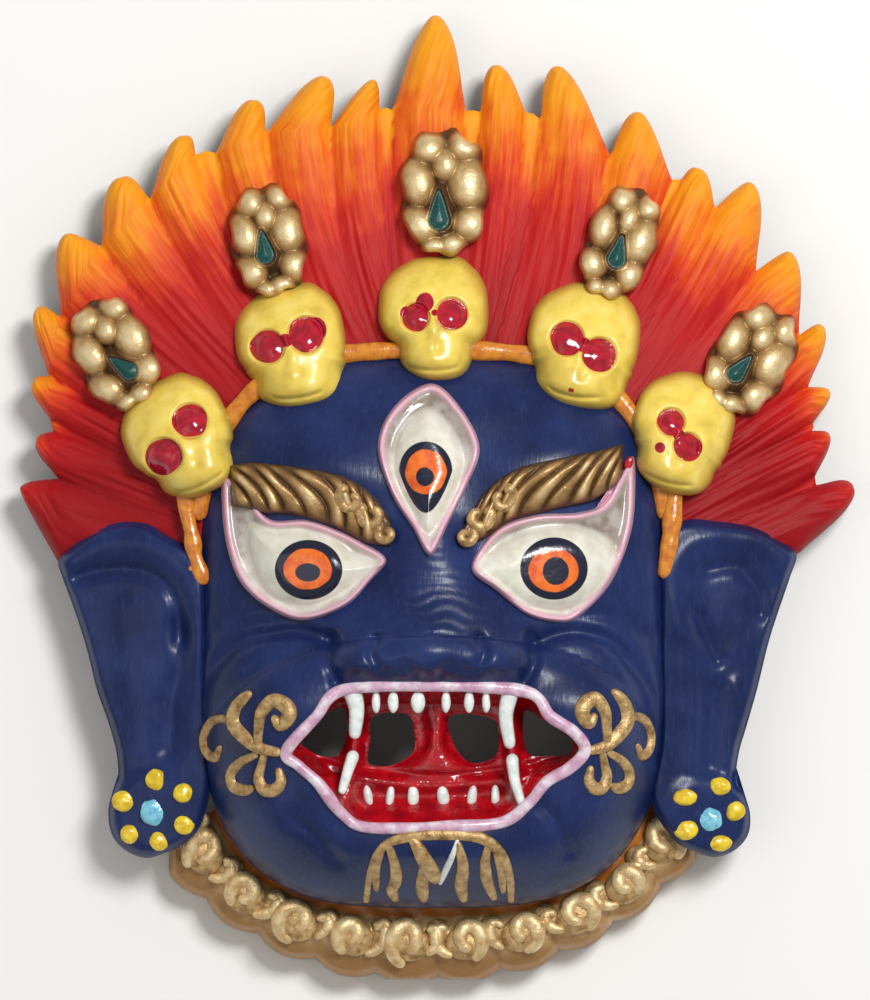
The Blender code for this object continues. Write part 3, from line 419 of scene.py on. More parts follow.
def new_paint(name, roughness, coat=0.0, metallic=0.0, shine=0.5):
    """Start a material and return it with its tree, shader and object coordinates in mm."""
    material = bpy.data.materials.new(name)
    material.use_nodes = True
    tree = material.node_tree
    shader = tree.nodes["Principled BSDF"]
    for key, value in (("Roughness", roughness), ("Metallic", metallic), ("Specular IOR Level", shine),
                       ("Coat Weight", coat), ("Coat Roughness", 0.12)):
        shader.inputs[key].default_value = value
    place = add(tree, "ShaderNodeTexCoord")
    scale = add(tree, "ShaderNodeVectorMath", {0: place.outputs["Object"], 1: (1000.0, 1000.0, 1000.0)},
                operation="MULTIPLY")
    return material, tree, shader, scale.outputs[0]


print("helpers:", colour.__name__, calc.__name__, new_paint.__name__)

# %% [markdown]
# A paint is built from a few steps: patches of a size in millimetres, a range of colours for
# them, and the marks of the brush pressed in on top.

# %% Colour and brush marks
def mottle(tree, vector, size, detail=3.0, stretch=None):
    """Return noise from 0 to 1 with patches of a size in mm."""
    if stretch:
        vector = add(tree, "ShaderNodeVectorMath", {0: vector, 1: stretch}, operation="MULTIPLY").outputs[0]
    return add(tree, "ShaderNodeTexNoise", {"Vector": vector, "Scale": 1.0 / size, "Detail": detail,
                                            "Roughness": 0.55}).outputs["Fac"]


def ramp(tree, value, stops):
    """Map a value to colours at named stops."""
    node = add(tree, "ShaderNodeValToRGB", {"Fac": value})
    line = node.color_ramp
    line.elements.remove(line.elements[1])
    line.elements[0].position = stops[0][0]
    line.elements[0].color = colour(stops[0][1])
    for at, code in stops[1:]:
        line.elements.new(at).color = colour(code)
    return node.outputs["Color"]


def cover(tree, shader, base, height, depth, strength=1.0):
    """Lay a colour on and press a height pattern of a depth in mm into it."""
    node = add(tree, "ShaderNodeBump", {"Height": height, "Distance": depth * 0.001, "Strength": strength})
    tree.links.new(base, shader.inputs["Base Color"])
    tree.links.new(node.outputs["Normal"], shader.inputs["Normal"])
    tree.links.new(node.outputs["Normal"], shader.inputs["Coat Normal"])


def brushed(name, stops, patches, marks, roughness, coat=0.0, metallic=0.0):
    """Return a paint of one colour range: patches has the size in mm and the detail of its
    mottling, and marks the size, detail, depth in mm and strength of its brush marks."""
    material, tree, shader, place = new_paint(name, roughness, coat, metallic)
    base = ramp(tree, mottle(tree, place, *patches), stops)
    cover(tree, shader, base, mottle(tree, place, *marks[:2]), *marks[2:])
    return material


print("helpers:", mottle.__name__, ramp.__name__, cover.__name__, brushed.__name__)

# %% [markdown]
# Where two paints meet, the edge is drawn by a distance that the piece keeps at its points.
# A finished piece is given its paints and handed over as part of the one moulding.

# %% Borders and dressing
def blend(tree, share, first, second):
    """Mix two colours by a share."""
    return add(tree, "ShaderNodeMix", {0: share, 6: first, 7: second}, data_type="RGBA").outputs[2]


def field(tree, name):
    """Read a value that a piece keeps at its points."""
    return add(tree, "ShaderNodeAttribute", attribute_name=name).outputs["Fac"]


def above(tree, value, limit, soft):
    """Return 0 below a limit and 1 above it, with a soft edge."""
    return add(tree, "ShaderNodeMapRange", {0: value, 1: limit - soft, 2: limit + soft, 3: 0.0, 4: 1.0},
               interpolation_type="SMOOTHSTEP").outputs[0]


done = []


def dress(piece, *paints):
    """Give a finished piece its paints and hand it to the frame."""
    mesh = piece.data
    paint_at = np.zeros(len(mesh.polygons), dtype=np.int32)
    mesh.polygons.foreach_get("material_index", paint_at)
    mesh.materials.clear()
    for paint in paints:
        mesh.materials.append(paint)
    mesh.polygons.foreach_set("material_index", np.minimum(paint_at, len(paints) - 1))
    mesh.shade_smooth()
    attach(piece, "root")
    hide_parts("mask")
    triangles = sum(len(face.vertices) - 2 for face in mesh.polygons)
    done.append((piece.name, triangles))
    print(piece.name, triangles, "triangles")

# %% [markdown]
# ### Blue enamel
# Gloss alkyd enamel in navy, brushed over the pulp. The eye gets a deep colour that goes
# slightly violet where the coat is thin, streaks a few millimetres long, and sharp lights.

# %% Blue enamel
def blue_enamel():
    """Return navy gloss enamel with brush streaks."""
    material, tree, shader, place = new_paint("blue gloss enamel", 0.34, 0.08, 0.0, 0.26)
    base = ramp(tree, mottle(tree, place, 18.0, 4.0), ((0.3, "#121E45"), (0.5, "#182755"), (0.7, "#203163")))
    hairs = mottle(tree, place, 1.1, 3.0, (1.0, 0.22, 0.6))
    faint = calc(tree, "MULTIPLY", above(tree, hairs, 0.62, 0.09), 0.3)
    base = blend(tree, faint, base, colour("#2C4072"))
    cover(tree, shader, base, calc(tree, "ADD", hairs, mottle(tree, place, 5.0)), 0.22, 0.4)
    return material


BLUE = blue_enamel()
print("paint", BLUE.name)

# %% [markdown]
# ## The head
# The head is a squarish dome, moulded hollow with walls of 4 mm. A modeller would press clay
# cheeks, brows and a nose onto a plain dome. The same is done here: soft hills are added to
# the dome's height, and creases are pressed in along drawn lines.

# %% Head sizes
HEAD = (-1.7, -41.3)
HEAD_HALF = (73.4, 86.4)
HEAD_POWER = 3.2
EDGE_Z = 26.0
CROWN_Z = 55.0
WALL = 4.0

# Soft forms: x, y, rise, half width, half height, turn in degrees
FORMS = (
    (0, 24, 3, 42, 16, 0), (-37, 10, 4.5, 26, 10, -16), (38, 12, 4.5, 26, 10, 16),
    (-3, -10, 4, 11, 14, 0), (-52, -66, 7, 19, 17, 0), (50, -66, 7, 19, 17, 0),
    (0, -64, 2, 36, 6, 0), (-50, -99, 5, 17, 15, 0), (48, -99, 5, 17, 15, 0),
    (0, -110, 7, 30, 10, 0),
)

# Creases: depth, half width, then the points of the line
CREASES = (
    (3, 2.4, ((-33.4, -44.3), (-40, -42.4), (-48, -42.1), (-63.6, -46.5), (-73.8, -59.8),
                (-77, -75.4))),
    (3, 2.4, ((31, -45), (38, -42.4), (46, -42.2), (55.8, -46.5), (66, -60.8), (68.2, -80.7))),
    (1.5, 2.6, ((-44, -37), (-58, -36.5), (-70, -42), (-76, -54))),
    (1.5, 2.6, ((40, -37), (55, -37), (66, -44), (71, -56))),
    (2.2, 2.2, ((33, -96), (37, -101), (40.5, -110.6))),
    (1.8, 2.6, ((-45, -100), (-38, -105), (-31, -113))),
    (2.4, 2, ((-33.2, -43), (-34.2, -50.5), (-31.5, -57))),
    (2.4, 2, ((28.6, -43), (30, -50.5), (27, -57))),
    (2, 1.8, ((-19, -44), (-20.5, -49), (-17, -53.5), (-10, -52.5), (-7, -54.5))),
    (2, 1.8, ((13, -44), (14.5, -49), (11, -53.5), (4, -52.5), (1, -54.5))),
)
print("head", 2 * HEAD_HALF[0], "by", 2 * HEAD_HALF[1], "mm,", len(FORMS), "forms,", len(CREASES), "creases")

# %% [markdown]
# The height of the face is worked out for any place on it. Everything that lies on the face
# asks this one law for its height, so brows, eyes and whiskers stay on the skin.

# %% Height of the face

def head_edge(angle, inset=0.0):
    """Return points of the head's outline at given angles, moved in by inset."""
    a, b = HEAD_HALF[0] - inset, HEAD_HALF[1] - inset
    c, s = np.cos(angle), np.sin(angle)
    reach = (np.abs(c / a) ** HEAD_POWER + np.abs(s / b) ** HEAD_POWER) ** (-1.0 / HEAD_POWER)
    return HEAD[0] + reach * c, HEAD[1] + reach * s


def head_share(x, y):
    """Return 0 at the head's centre and 1 on its outline."""
    u = np.abs(x - HEAD[0]) / HEAD_HALF[0]
    v = np.abs(y - HEAD[1]) / HEAD_HALF[1]
    return (u ** HEAD_POWER + v ** HEAD_POWER) ** (1.0 / HEAD_POWER)


def hill(x, y, cx, cy, half_w, half_h, turn=0.0):
    """Return a soft round hill of height 1."""
    u, v = turned(x, y, (cx, cy), turn)
    return np.exp(-((u / half_w) ** 2 + (v / half_h) ** 2))


def nose(x, y):
    """Return the rise of the nose: a bridge that widens to a blunt tip between two wings."""
    along = smooth_step(-8.0, -44.0, y)
    under = smooth_step(-60.0, -52.0, y)
    width = 11.0 + 17.5 * along ** 1.3
    ridge = (3.0 + 8.0 * along ** 1.2) * smooth_step(-2.0, -16.0, y)
    ridge = ridge * np.exp(-np.abs((x + 3.0) / width) ** 3.2)
    tip = 4.0 * hill(x, y, -3.0, -46.0, 11.5, 8.5)
    wings = np.zeros(np.shape(x))
    for wx in (-25.0, 19.5):
        wings = wings + 3.4 * hill(x, y, wx, -49.5, 7.0, 6.4)
    return under * (ridge + tip + wings)


def dome(x, y):
    """Return the height of the plain dome and how much carving it takes."""
    r = np.minimum(1.0, head_share(x, y))
    rise = np.sqrt(np.maximum(0.0, 1.0 - r ** 2.4))
    return EDGE_Z + (CROWN_Z - EDGE_Z) * rise, np.minimum(1.0, rise * 1.6)


def skin(x, y, carved=True):
    """Return the height of the face's outer skin."""
    x, y = np.asarray(x, dtype=float), np.asarray(y, dtype=float)
    z, fade = dome(x, y)
    rise = sum(height * hill(x, y, cx, cy, w, h, turn) for cx, cy, height, w, h, turn in FORMS)
    m = (np.abs((x + 2.0) / 71.0) ** 2.4 + np.abs((y + 88.0) / 45.0) ** 2.4) ** (1.0 / 2.4)
    rise = rise + 6.5 * np.sqrt(np.maximum(0.0, 1.0 - m ** 3)) + nose(x, y)
    if carved:
        for depth, half, line in CREASES:
            d = far_from(x, y, through(line, 24, False))
            rise = rise - depth * np.exp(-(d / half) ** 2)
        bridge = hill(x, y, -3.0, -32.0, 16.0, 13.0)
        wave = y + 0.01 * (x + 3.0) ** 2 + 1.4 * ripple(x, y, 9.0, 5.0)
        rise = rise + 0.16 * bridge * np.sin(wave * math.tau / 3.2)
    return z + fade * rise


print("tip of the nose", round(float(skin(-3.0, -46.0)), 1), "mm above the ground")

# %% [markdown]
# The face is one closed shell: rings of the outline from the middle of the face out to the
# rim, then back along the inside. Its mouth is cut through afterwards.

# %% Head shell
MOUTH = (
    (-47, -79), (-38, -68.5), (-29, -59.8), (0, -58.6), (27.5, -60.4), (35, -68),
    (42.5, -73), (45.8, -78.6), (41, -84.2), (34, -88.4), (28.4, -95), (19.5, -101.2),
    (0, -102.4), (-22, -102.6), (-30, -98), (-37, -89), (-43, -83.6),
)
MOUTH_LINE = through(MOUTH, 120, True)


def head_shell():
    """Make the hollow head with its outer face, flat back rim and plain inside."""
    count = 300
    angle = math.tau * (np.arange(count) + 0.5) / count
    edge = np.stack(head_edge(angle), axis=-1)
    inner_edge = np.stack(head_edge(angle, WALL), axis=-1)
    centre = np.array(HEAD)
    rows = []
    for share in 1.0 - (1.0 - (np.arange(120) + 1) / 120.0) ** 1.25:
        p = centre + (edge - centre) * share
        rows.append(np.column_stack([p, skin(p[:, 0], p[:, 1])]))
    rows.append(np.column_stack([edge, np.full(count, 0.0)]))
    rows.append(np.column_stack([inner_edge, np.full(count, 0.0)]))
    for share in (1.0, 0.98, 0.95, 0.9, 0.84, 0.77, 0.69, 0.6, 0.5, 0.4, 0.3, 0.2, 0.1):
        p = centre + (inner_edge - centre) * share
        q = centre + (edge - centre) * share
        rows.append(np.column_stack([p, skin(q[:, 0], q[:, 1], False) - WALL - 1.0]))
    top = [*HEAD, float(skin(HEAD[0], HEAD[1]))]
    low = [*HEAD, float(skin(HEAD[0], HEAD[1], False)) - WALL - 1.0]
    return new_mesh("face", np.vstack(rows + [[top], [low]]), ring_faces(len(rows), count))


def prism(name, loop, low, high):
    """Make an upright block over a loop."""
    return relief(name, loop, np.mean(loop, axis=0), (1.0,), lambda x, y, s: high, lambda x, y, s: low)


face = head_shell()
cut(face, prism("mouth_block", MOUTH_LINE, 20.0, 95.0))
print("head shell", len(face.data.vertices), "points")

# %% [markdown]
# The inside and the back keep the bare grey-brown pulp, as such masks do. Faces below
# the outer skin get the second paint.

# %% Bare pulp inside
# Pressed paper pulp: matt, grey brown, with fibres and pits
PULP = brushed("pressed paper pulp", ((0.3, "#4E463C"), (0.7, "#7A6E5E")), (9.0, 5.0), (2.2, 6.0, 1.2, 0.8),
               0.9)


def back_is_bare(piece, limit):
    """Give the second paint to the faces that lie below a height, which depends on the place."""
    mesh = piece.data
    centres = np.zeros(3 * len(mesh.polygons))
    mesh.polygons.foreach_get("center", centres)
    x, y, z = centres.reshape(-1, 3).T * 1000.0
    share = 1.0 - z / VIEW_DISTANCE
    x, y = AIM[0] + (x - AIM[0]) / share, AIM[1] + (y - AIM[1]) / share
    mesh.polygons.foreach_set("material_index", (z < limit(x, y)).astype(np.int32))


back_is_bare(face, lambda x, y: np.where(head_share(x, y) < 0.965, skin(x, y) - 2.0, 0.5))
dress(face, BLUE, PULP)

# %% [markdown]
# ## The flames
# Twenty-one tongues stand round the crown on one plate. Each is drawn by its two valleys, its
# tip and how far its sides bow out. The tongues lean towards the middle, so the valleys run
# in curves from the head's edge. A tongue is a ridge with a few flutes, as if drawn with
# three fingers through wet pulp.

# %% Flame sizes
# Left valley x and y, tip x and y, bow of the left and of the right side, ridge, burn length
TONGUES = (
    (-118, -20.1, -129.8, 2.6, 0.6, 1.4, 3, 13),
    (-118, 5.9, -124.6, 17.4, 1.6, 1.2, 3, 17),
    (-119.4, 20.7, -120, 22.8, 0, 0, 0, 12),
    (-120.5, 24.4, -125.2, 36.2, 2.2, 1, 3, 20),
    (-120.9, 37.8, -125.4, 57.2, 1.2, 2.6, 3.2, 30),
    (-117.1, 56.3, -114.8, 82, 3.4, 0.6, 3.6, 42),
    (-104.6, 78.2, -98.2, 99.3, 3.4, 2, 3.8, 52),
    (-89.4, 92.8, -78.8, 112.3, 2.8, 1.8, 3.8, 56),
    (-75.1, 106.5, -72, 107.8, 0, 0, 0.4, 34),
    (-68.9, 107.1, -57.4, 123.4, 2.4, 2.4, 3.8, 62),
    (-53.3, 113.3, -35, 130.7, 2.6, 2.4, 3.8, 66),
    (-33.1, 115, -19.8, 129.8, 1.6, 1, 3, 58),
    (-17.9, 120.8, -16, 121.2, 0, 0, 0.4, 36),
    (-14, 120.5, -0.8, 149.8, 2.4, 3.2, 4.4, 84),
    (8.9, 120.2, 11, 120.4, 0, 0, 0.4, 36),
    (13.2, 119.9, 18.2, 134.3, 2.2, 2, 3.4, 58),
    (27.5, 119.7, 29.6, 119.4, 0, 0, 0.4, 40),
    (31.9, 117.7, 37.2, 134, 2.4, 2.6, 3.8, 64),
    (53.6, 106.5, 63, 119.6, 2.6, 1.4, 3.6, 56),
    (72.9, 98.7, 74.2, 99, 0, 0, 0.4, 34),
    (75.4, 98.7, 80.9, 102.1, 1.4, 2, 2.8, 44),
    (86.3, 90, 97, 97.9, 1, 3.2, 3.6, 52),
    (99, 70.4, 109, 76.4, 0.6, 3, 3.4, 40),
    (112.4, 50.5, 119.2, 53.6, 0.8, 2.6, 3, 28),
    (115.2, 34.4, 121.8, 33, 0.8, 1.2, 2.8, 22),
    (116.7, 23, 116.9, 21.8, 0, 0, 0, 12),
    (116.4, 20.8, 121.8, 19.2, 1, 1.2, 2.8, 18),
    (117.3, 6.4, 117.5, 5.2, 0, 0, 0, 12),
    (117.7, 3.9, 129.3, 2.8, 2.4, 2.6, 3.2, 15),
)
FLAMES_END = (112.8, -17.0)
ROOT_Z = 31.0
TIP_Z = 15.0
FLAME_THICK = 6.0


def plate(x, y):
    """Return the height of the flames' valleys, high at the head and low at the tips."""
    angle = np.arctan2(y - HEAD[1], x - HEAD[0])
    ex, ey = head_edge(angle)
    start = np.hypot(ex - HEAD[0], ey - HEAD[1])
    reach = np.hypot(x - HEAD[0], y - HEAD[1]) - start
    length = 52.0 + 56.0 * np.maximum(0.0, np.sin(angle)) ** 2
    return ROOT_Z + (TIP_Z - ROOT_Z) * np.clip(reach / length, 0.0, 1.1)


print(len(TONGUES), "tongues and webs, the tallest", max(row[3] for row in TONGUES), "mm up")

# %% [markdown]
# A valley is a curve from the head's edge to the notch between two tips. Beyond the notch a
# tongue is free, and its two sides bow out and meet in a rounded tip.

# %% Sides of a tongue
LOW_ROWS = 36
HIGH_ROWS = 26


def valley_line(point, lean):
    """Return a valley's curve from the head's edge to its notch, leaving the notch along lean."""
    x, y = point
    angle = math.atan2(y - HEAD[1], x - HEAD[0])
    if y < 0.0:
        start = np.array([HEAD[0] + math.copysign(HEAD_HALF[0] - 3.0, x), -16.0 + 0.35 * y])
    else:
        start = np.array(head_edge(angle, 3.0))
    end = np.array(point)
    bend = end - np.array(lean) * 0.45 * np.linalg.norm(end - start)
    t = (np.arange(LOW_ROWS + 1) / LOW_ROWS)[:, None]
    return (1 - t) ** 2 * start + 2 * t * (1 - t) * bend + t * t * end


def tongue_side(valley, tip, bow, sign):
    """Return one side of a tongue's free part, from the notch round to the tip."""
    valley, tip = np.array(valley), np.array(tip)
    way = tip - valley
    length = np.linalg.norm(way)
    normal = np.array([-way[1], way[0]]) / length
    k = (np.arange(HIGH_ROWS) + 1) / HIGH_ROWS
    t = 1.0 - (1.0 - k) ** 1.8
    bulge = smooth_step(-0.1, 0.72, t) - smooth_step(-0.1, 0.72, 0.0)
    bulge = bulge * np.sqrt(np.maximum(0.0, 1.0 - np.clip((t - 0.72) / 0.28, 0.0, 1.0) ** 2.2))
    return valley + way * t[:, None] + normal * (sign * bow * bulge)[:, None]


print("rows along a tongue", LOW_ROWS, "below and", HIGH_ROWS, "above the valley")

# %% [markdown]
# Neighbours share their valleys, so the fan closes without gaps. A short web fills each wide
# notch, and both its valleys leave the notch side by side so that they never cross.

# %% Directions of the flames
def flame_leans(valleys):
    """Return the direction in which the flames leave each notch."""
    leans = []
    for k, valley in enumerate(valleys):
        near = [TONGUES[i] for i in (k - 1, k) if 0 <= i < len(TONGUES) and TONGUES[i][6] > 1.0]
        near = near or [TONGUES[min(k, len(TONGUES) - 1)]]
        steps = [np.array([row[2] - valley[0], row[3] - valley[1]]) for row in near]
        way = sum(step / math.hypot(*step) for step in steps)
        out = np.array([valley[0] - HEAD[0], valley[1] - HEAD[1]])
        way = way / (np.linalg.norm(way) + 1e-9) + 1.2 * out / np.linalg.norm(out)
        leans.append(way / np.linalg.norm(way))
    for k, row in enumerate(TONGUES):
        if row[6] < 1.0:
            way = leans[k] + leans[k + 1]
            leans[k] = leans[k + 1] = way / np.linalg.norm(way)
    return leans


print("helper:", flame_leans.__name__)

# %% [markdown]
# All tongues are laid into one closed plate, with an upper and a lower sheet and a wall round
# the free border. Flutes run along every tongue, and each point keeps how far it is from its
# tip, from which the paint takes its colour.

# %% Flame fan
def flame_fan():
    """Make all tongues as one closed plate."""
    valleys = [row[:2] for row in TONGUES] + [FLAMES_END]
    lines = [valley_line(valley, lean) for valley, lean in zip(valleys, flame_leans(valleys))]
    points, faces = [], []
    fields = {"glow": [], "across": [], "along": []}
    rows = LOW_ROWS + HIGH_ROWS + 1
    offset = 0
    for i, (vx, vy, tx, ty, bow_l, bow_r, ridge, burn) in enumerate(TONGUES):
        web = ridge < 1.0
        across = 6 if web else 20
        left = np.vstack([lines[i], tongue_side(valleys[i], (tx, ty), bow_l, 1.0)])
        right = np.vstack([lines[i + 1], tongue_side(valleys[i + 1], (tx, ty), bow_r, -1.0)])
        s = np.arange(across + 1) / across
        c = np.abs(2.0 * s - 1.0)
        x = left[:, :1] + (right[:, :1] - left[:, :1]) * s
        y = left[:, 1:] + (right[:, 1:] - left[:, 1:]) * s
        k = (np.arange(rows) / (rows - 1))[:, None]
        free = smooth_step(LOW_ROWS / rows - 0.10, LOW_ROWS / rows + 0.06, k)
        wide = np.hypot(right[:, :1] - left[:, :1], right[:, 1:] - left[:, 1:])
        rise = ridge * smooth_step(0.08, 0.55, k) * (1.0 - 0.45 * smooth_step(0.9, 1.0, k))
        top = plate(x, y) + rise * (1.0 - c ** (1.3 + 1.2 * free)) * np.minimum(1.0, wide / 6.0)
        top = top - 3.2 * (1.0 - smooth_step(-26.0, -11.0, y))
        top = top - free * 2.4 * c ** 5
        if web:
            top = top - 1.6 * smooth_step(0.25, 0.6, k) * (1.0 - c ** 4)
        else:
            comb = ripple(s * wide / 1.6, k * 4.0 + 0.0 * s, 1.0, 3.1 * i)
            top = top + 0.7 * comb * smooth_step(0.0, 0.12, k) * (1.0 - c ** 4)
        low = plate(x, y) - FLAME_THICK + free * 0.8 * c ** 5
        away = np.hypot(x - tx, y - ty)
        red_tip = 0.75 * smooth_step(-48.0, -4.0, -ty)
        for z in (top, low):
            points.append(flat_list(x, y, z))
            fields["glow"].append((away / burn + red_tip).ravel())
            fields["across"].append((s * wide + 17.0 * i).ravel())
            fields["along"].append(away.ravel())
        columns = across + 1
        under = rows * columns
        faces += grid_faces(rows, columns, offset) + grid_faces(rows, columns, offset + under, True)
        for r in range(rows - 1):
            for j, first in ((0, i == 0), (across, i == len(TONGUES) - 1)):
                if r >= LOW_ROWS or first:
                    a = offset + r * columns + j
                    faces.append((a, a + columns, a + columns + under, a + under))
        faces += [(a, a + 1, a + 1 + under, a + under) for a in range(offset, offset + across)]
        offset += 2 * under
    fields = {key: np.concatenate(values) for key, values in fields.items()}
    return new_mesh("flames", np.vstack(points), faces, fields)


fan = flame_fan()
print("fan of", len(fan.data.polygons), "faces")

# %% [markdown]
# ### Flame enamel
# Four enamels are brushed into each other while wet, from crimson at the head over scarlet
# and orange to amber at the tips. The eye gets long strokes along each tongue where the
# colours run into one another.

# %% Flame enamel
def flame_enamel():
    """Return wet-blended crimson, orange and amber enamel with strokes along the tongues."""
    material, tree, shader, place = new_paint("blended flame enamel", 0.55, 0.0, 0.0, 0.22)
    across, along = field(tree, "across"), field(tree, "along")
    strokes = add(tree, "ShaderNodeCombineXYZ", {0: across, 1: along}).outputs[0]
    strokes = mottle(tree, strokes, 1.5, 4.0, (1.0, 0.09, 1.0))
    wander = calc(tree, "MULTIPLY_ADD", strokes, 0.62, -0.31)
    shift = calc(tree, "MULTIPLY_ADD", mottle(tree, place, 14.0, 2.0), 0.5, -0.25)
    burn = calc(tree, "ADD", calc(tree, "ADD", field(tree, "glow"), wander), shift)
    base = ramp(tree, calc(tree, "MULTIPLY", burn, 0.5), (
        (0.03, "#F2A01A"), (0.13, "#EE8C18"), (0.21, "#E4661A"), (0.30, "#D43E1A"), (0.40, "#BC1C18"),
        (0.62, "#A81016"), (0.9, "#980A14")))
    cover(tree, shader, base, strokes, 0.6, 0.5)
    return material


back_is_bare(fan, lambda x, y: plate(x, y) - 5.0)
dress(fan, flame_enamel(), PULP)

# %% [markdown]
# ## Ears
# Long ears with heavy lobes mark such a deity. Each is a slightly dished blade with a rolled
# upper edge that turns down beside the head, and its lobe is a flat round pad. The blade is
# a relief over the ear's outline, and its folds are pressed in as creases, like those of
# the face.

# %% Ears
LEFT_EAR = (
    (-118, -20.1), (-116.7, -24.7), (-112.7, -35.6), (-109, -47.4), (-105.9, -59.8), (-102.4, -69.8),
    (-100, -78.5), (-99.3, -86.3), (-100.9, -90.9), (-102.4, -97.8), (-101.2, -104.9), (-97.2, -109.6),
    (-90.9, -112.1), (-84.7, -110.5), (-78.5, -107.4), (-73.5, -101.4), (-70.5, -88), (-71.5, -60),
    (-71.5, -32), (-72.5, -17), (-78.5, -14.8), (-84.4, -11.7), (-90.6, -8.2), (-99.6, -7.9),
    (-109.3, -11.7), (-115.5, -16.9),
)
RIGHT_EAR = (
    (111.5, -17.6), (109.6, -24.7), (105.9, -35.6), (102.8, -45.5), (99.3, -59.8), (96.2, -70.7),
    (93.7, -79.4), (92.8, -88.4), (95.6, -93.1), (97.2, -98.7), (96.5, -104.9), (92.5, -109.6),
    (86.3, -111.8), (80.1, -110.2), (72.9, -105.9), (66, -93), (68.5, -76), (68.5, -50),
    (68.5, -28), (69.5, -12), (77.6, -7), (86.6, -7.4), (97.8, -9.2), (105.9, -13.2),
)
# Folds and rolls: depth (a roll is negative), half width, then the points of the line
LEFT_FOLDS = (
    (2, 2.4, ((-112, -24.6), (-105.2, -22.9), (-94, -22.5), (-86.3, -25.7), (-81.6, -31.9),
                (-79.7, -44.3))),
    (2.6, 4, ((-79.7, -41), (-79.4, -52), (-82.5, -63), (-83.2, -78))),
    (-1.8, 4.5, ((-113, -20), (-107.5, -16.2), (-99, -13.8), (-90, -14.6), (-81, -20), (-75, -32),
                 (-75.5, -52))),
    (-0.9, 5, ((-97, -36), (-95, -55), (-92, -75))),
)
RIGHT_FOLDS = (
    (1.9, 2.6, ((84, -22.5), (92.5, -21.3), (96.5, -25), (99.6, -29.4), (100.3, -36))),
    (2, 2.4, ((81.2, -37.5), (84.1, -44.3), (86.9, -50.5))),
    (1.7, 3.6, ((85.5, -60), (84.7, -72), (84.5, -84))),
    (-1.8, 4.5, ((108, -20), (101, -14.5), (91, -12.8), (80, -14), (73.5, -24), (75, -40))),
    (-1.2, 2.2, ((78.4, -44), (79.6, -60), (79.2, -84))),
    (-1, 2.4, ((92.5, -58), (91.5, -70), (90.5, -82))),
)
# Lobes: x, y, radius
LOBES = ((-87.8, -97.8, 14.4), (84.1, -98.7, 14.0))
print("ears with", len(LEFT_FOLDS), "and", len(RIGHT_FOLDS), "folds and rolls")

# %% [markdown]
# The height of an ear is a law of its own, because the studs ask for it too.

# %% Ear maker
def ear_top(x, y, folds, lobe):
    """Return the height of an ear: its blade, its folds and the pad of its lobe."""
    cx, cy, radius = lobe
    z = plate(x, y) + 3.6 - 2.4 * smooth_step(-30.0, -80.0, y)
    for depth, half, line in folds:
        z = z - depth * np.exp(-(far_from(x, y, through(line, 24, False)) / half) ** 2)
    pad = 1.0 - smooth_step(radius - 4.5, radius + 1.5, np.hypot(x - cx, y - cy))
    return z + 1.6 * pad + 0.2 * ripple(x, y, 8.0, cx)


def ear(name, outline, folds, lobe, centre):
    """Make an ear over its outline, with a rounded edge."""
    loop = through(outline, 190, True)

    def top(x, y, share):
        edge = far_from(x, y, loop, True)
        return ear_top(x, y, folds, lobe) - 2.8 * (1.0 - smooth_step(0.0, 2.8, edge)) ** 1.6

    return relief(name, loop, centre, np.linspace(1 / 66, 1.0, 66), top, lambda x, y, s: plate(x, y) - 5.0)


for piece in (ear("left_ear", LEFT_EAR, LEFT_FOLDS, LOBES[0], (-88.0, -52.0)),
              ear("right_ear", RIGHT_EAR, RIGHT_FOLDS, LOBES[1], (83.0, -52.0))):
    back_is_bare(piece, lambda x, y: plate(x, y) - 4.5)
    dress(piece, BLUE, PULP)

# %% [markdown]
# ## Studs
# Thick drops of enamel, set down with the tip of the brush: a pale blue one in the middle of
# each lobe and yellow ones round it. No two are quite round.

# %% Studs
YELLOW_STUDS = (
    (-87.6, -87.8, 3.2, 3.3), (-97.5, -94.4, 3.8, 3.3), (-79.1, -92, 3.1, 3.1), (-95.6, -104.6, 3, 3),
    (-78.8, -101.9, 3.1, 3), (-86.6, -106.8, 3, 3), (87.6, -89.8, 3.5, 2.8), (76.9, -93.2, 3.8, 2.6),
    (92.4, -97.5, 3.2, 3.1), (77.3, -103.4, 3.8, 3.1), (87.6, -107.4, 4, 2.5),
)
BLUE_STUDS = ((-88.4, -97.9, 4.0, 4.3), (84.6, -100.0, 3.9, 3.6))


def drop_enamel(name, light, dark):
    """Return thick glossy enamel that is a little darker where it thins."""
    return brushed(name, ((0.35, dark), (0.6, light)), (2.4, 2.0), (1.6, 3.0, 0.25, 0.5), 0.22, 0.4)


def stud_rows(studs):
    """Set each stud on the surface of its lobe."""
    rows = []
    for x, y, half_w, half_h in studs:
        folds, lobe = (LEFT_FOLDS, LOBES[0]) if x < 0 else (RIGHT_FOLDS, LOBES[1])
        z = float(ear_top(np.array([x]), np.array([y]), folds, lobe)[0])
        rows.append((x, y, z - 0.3, half_w, half_h, 1.7, 0.0))
    return rows


YELLOW_DROP = drop_enamel("yellow drop enamel", "#EFD030", "#D4AE18")
BLUE_DROP = drop_enamel("pale blue drop enamel", "#86CDE0", "#63AECB")
dress(drops("yellow_studs", stud_rows(YELLOW_STUDS), YELLOW_DROP, 24, 0.9), YELLOW_DROP)
dress(drops("blue_studs", stud_rows(BLUE_STUDS), BLUE_DROP, 24, 1.6), BLUE_DROP)

# %% [markdown]
# ## Skulls
# Five skulls sit on the band: a round cranium over a narrower jaw, leaning back with the
# brow. The sockets are pressed in with a fingertip and filled with glossy red, which runs
# together over the nose on some. The red is painted by distance from a few circles, so its
# edge stays crisp at any size.

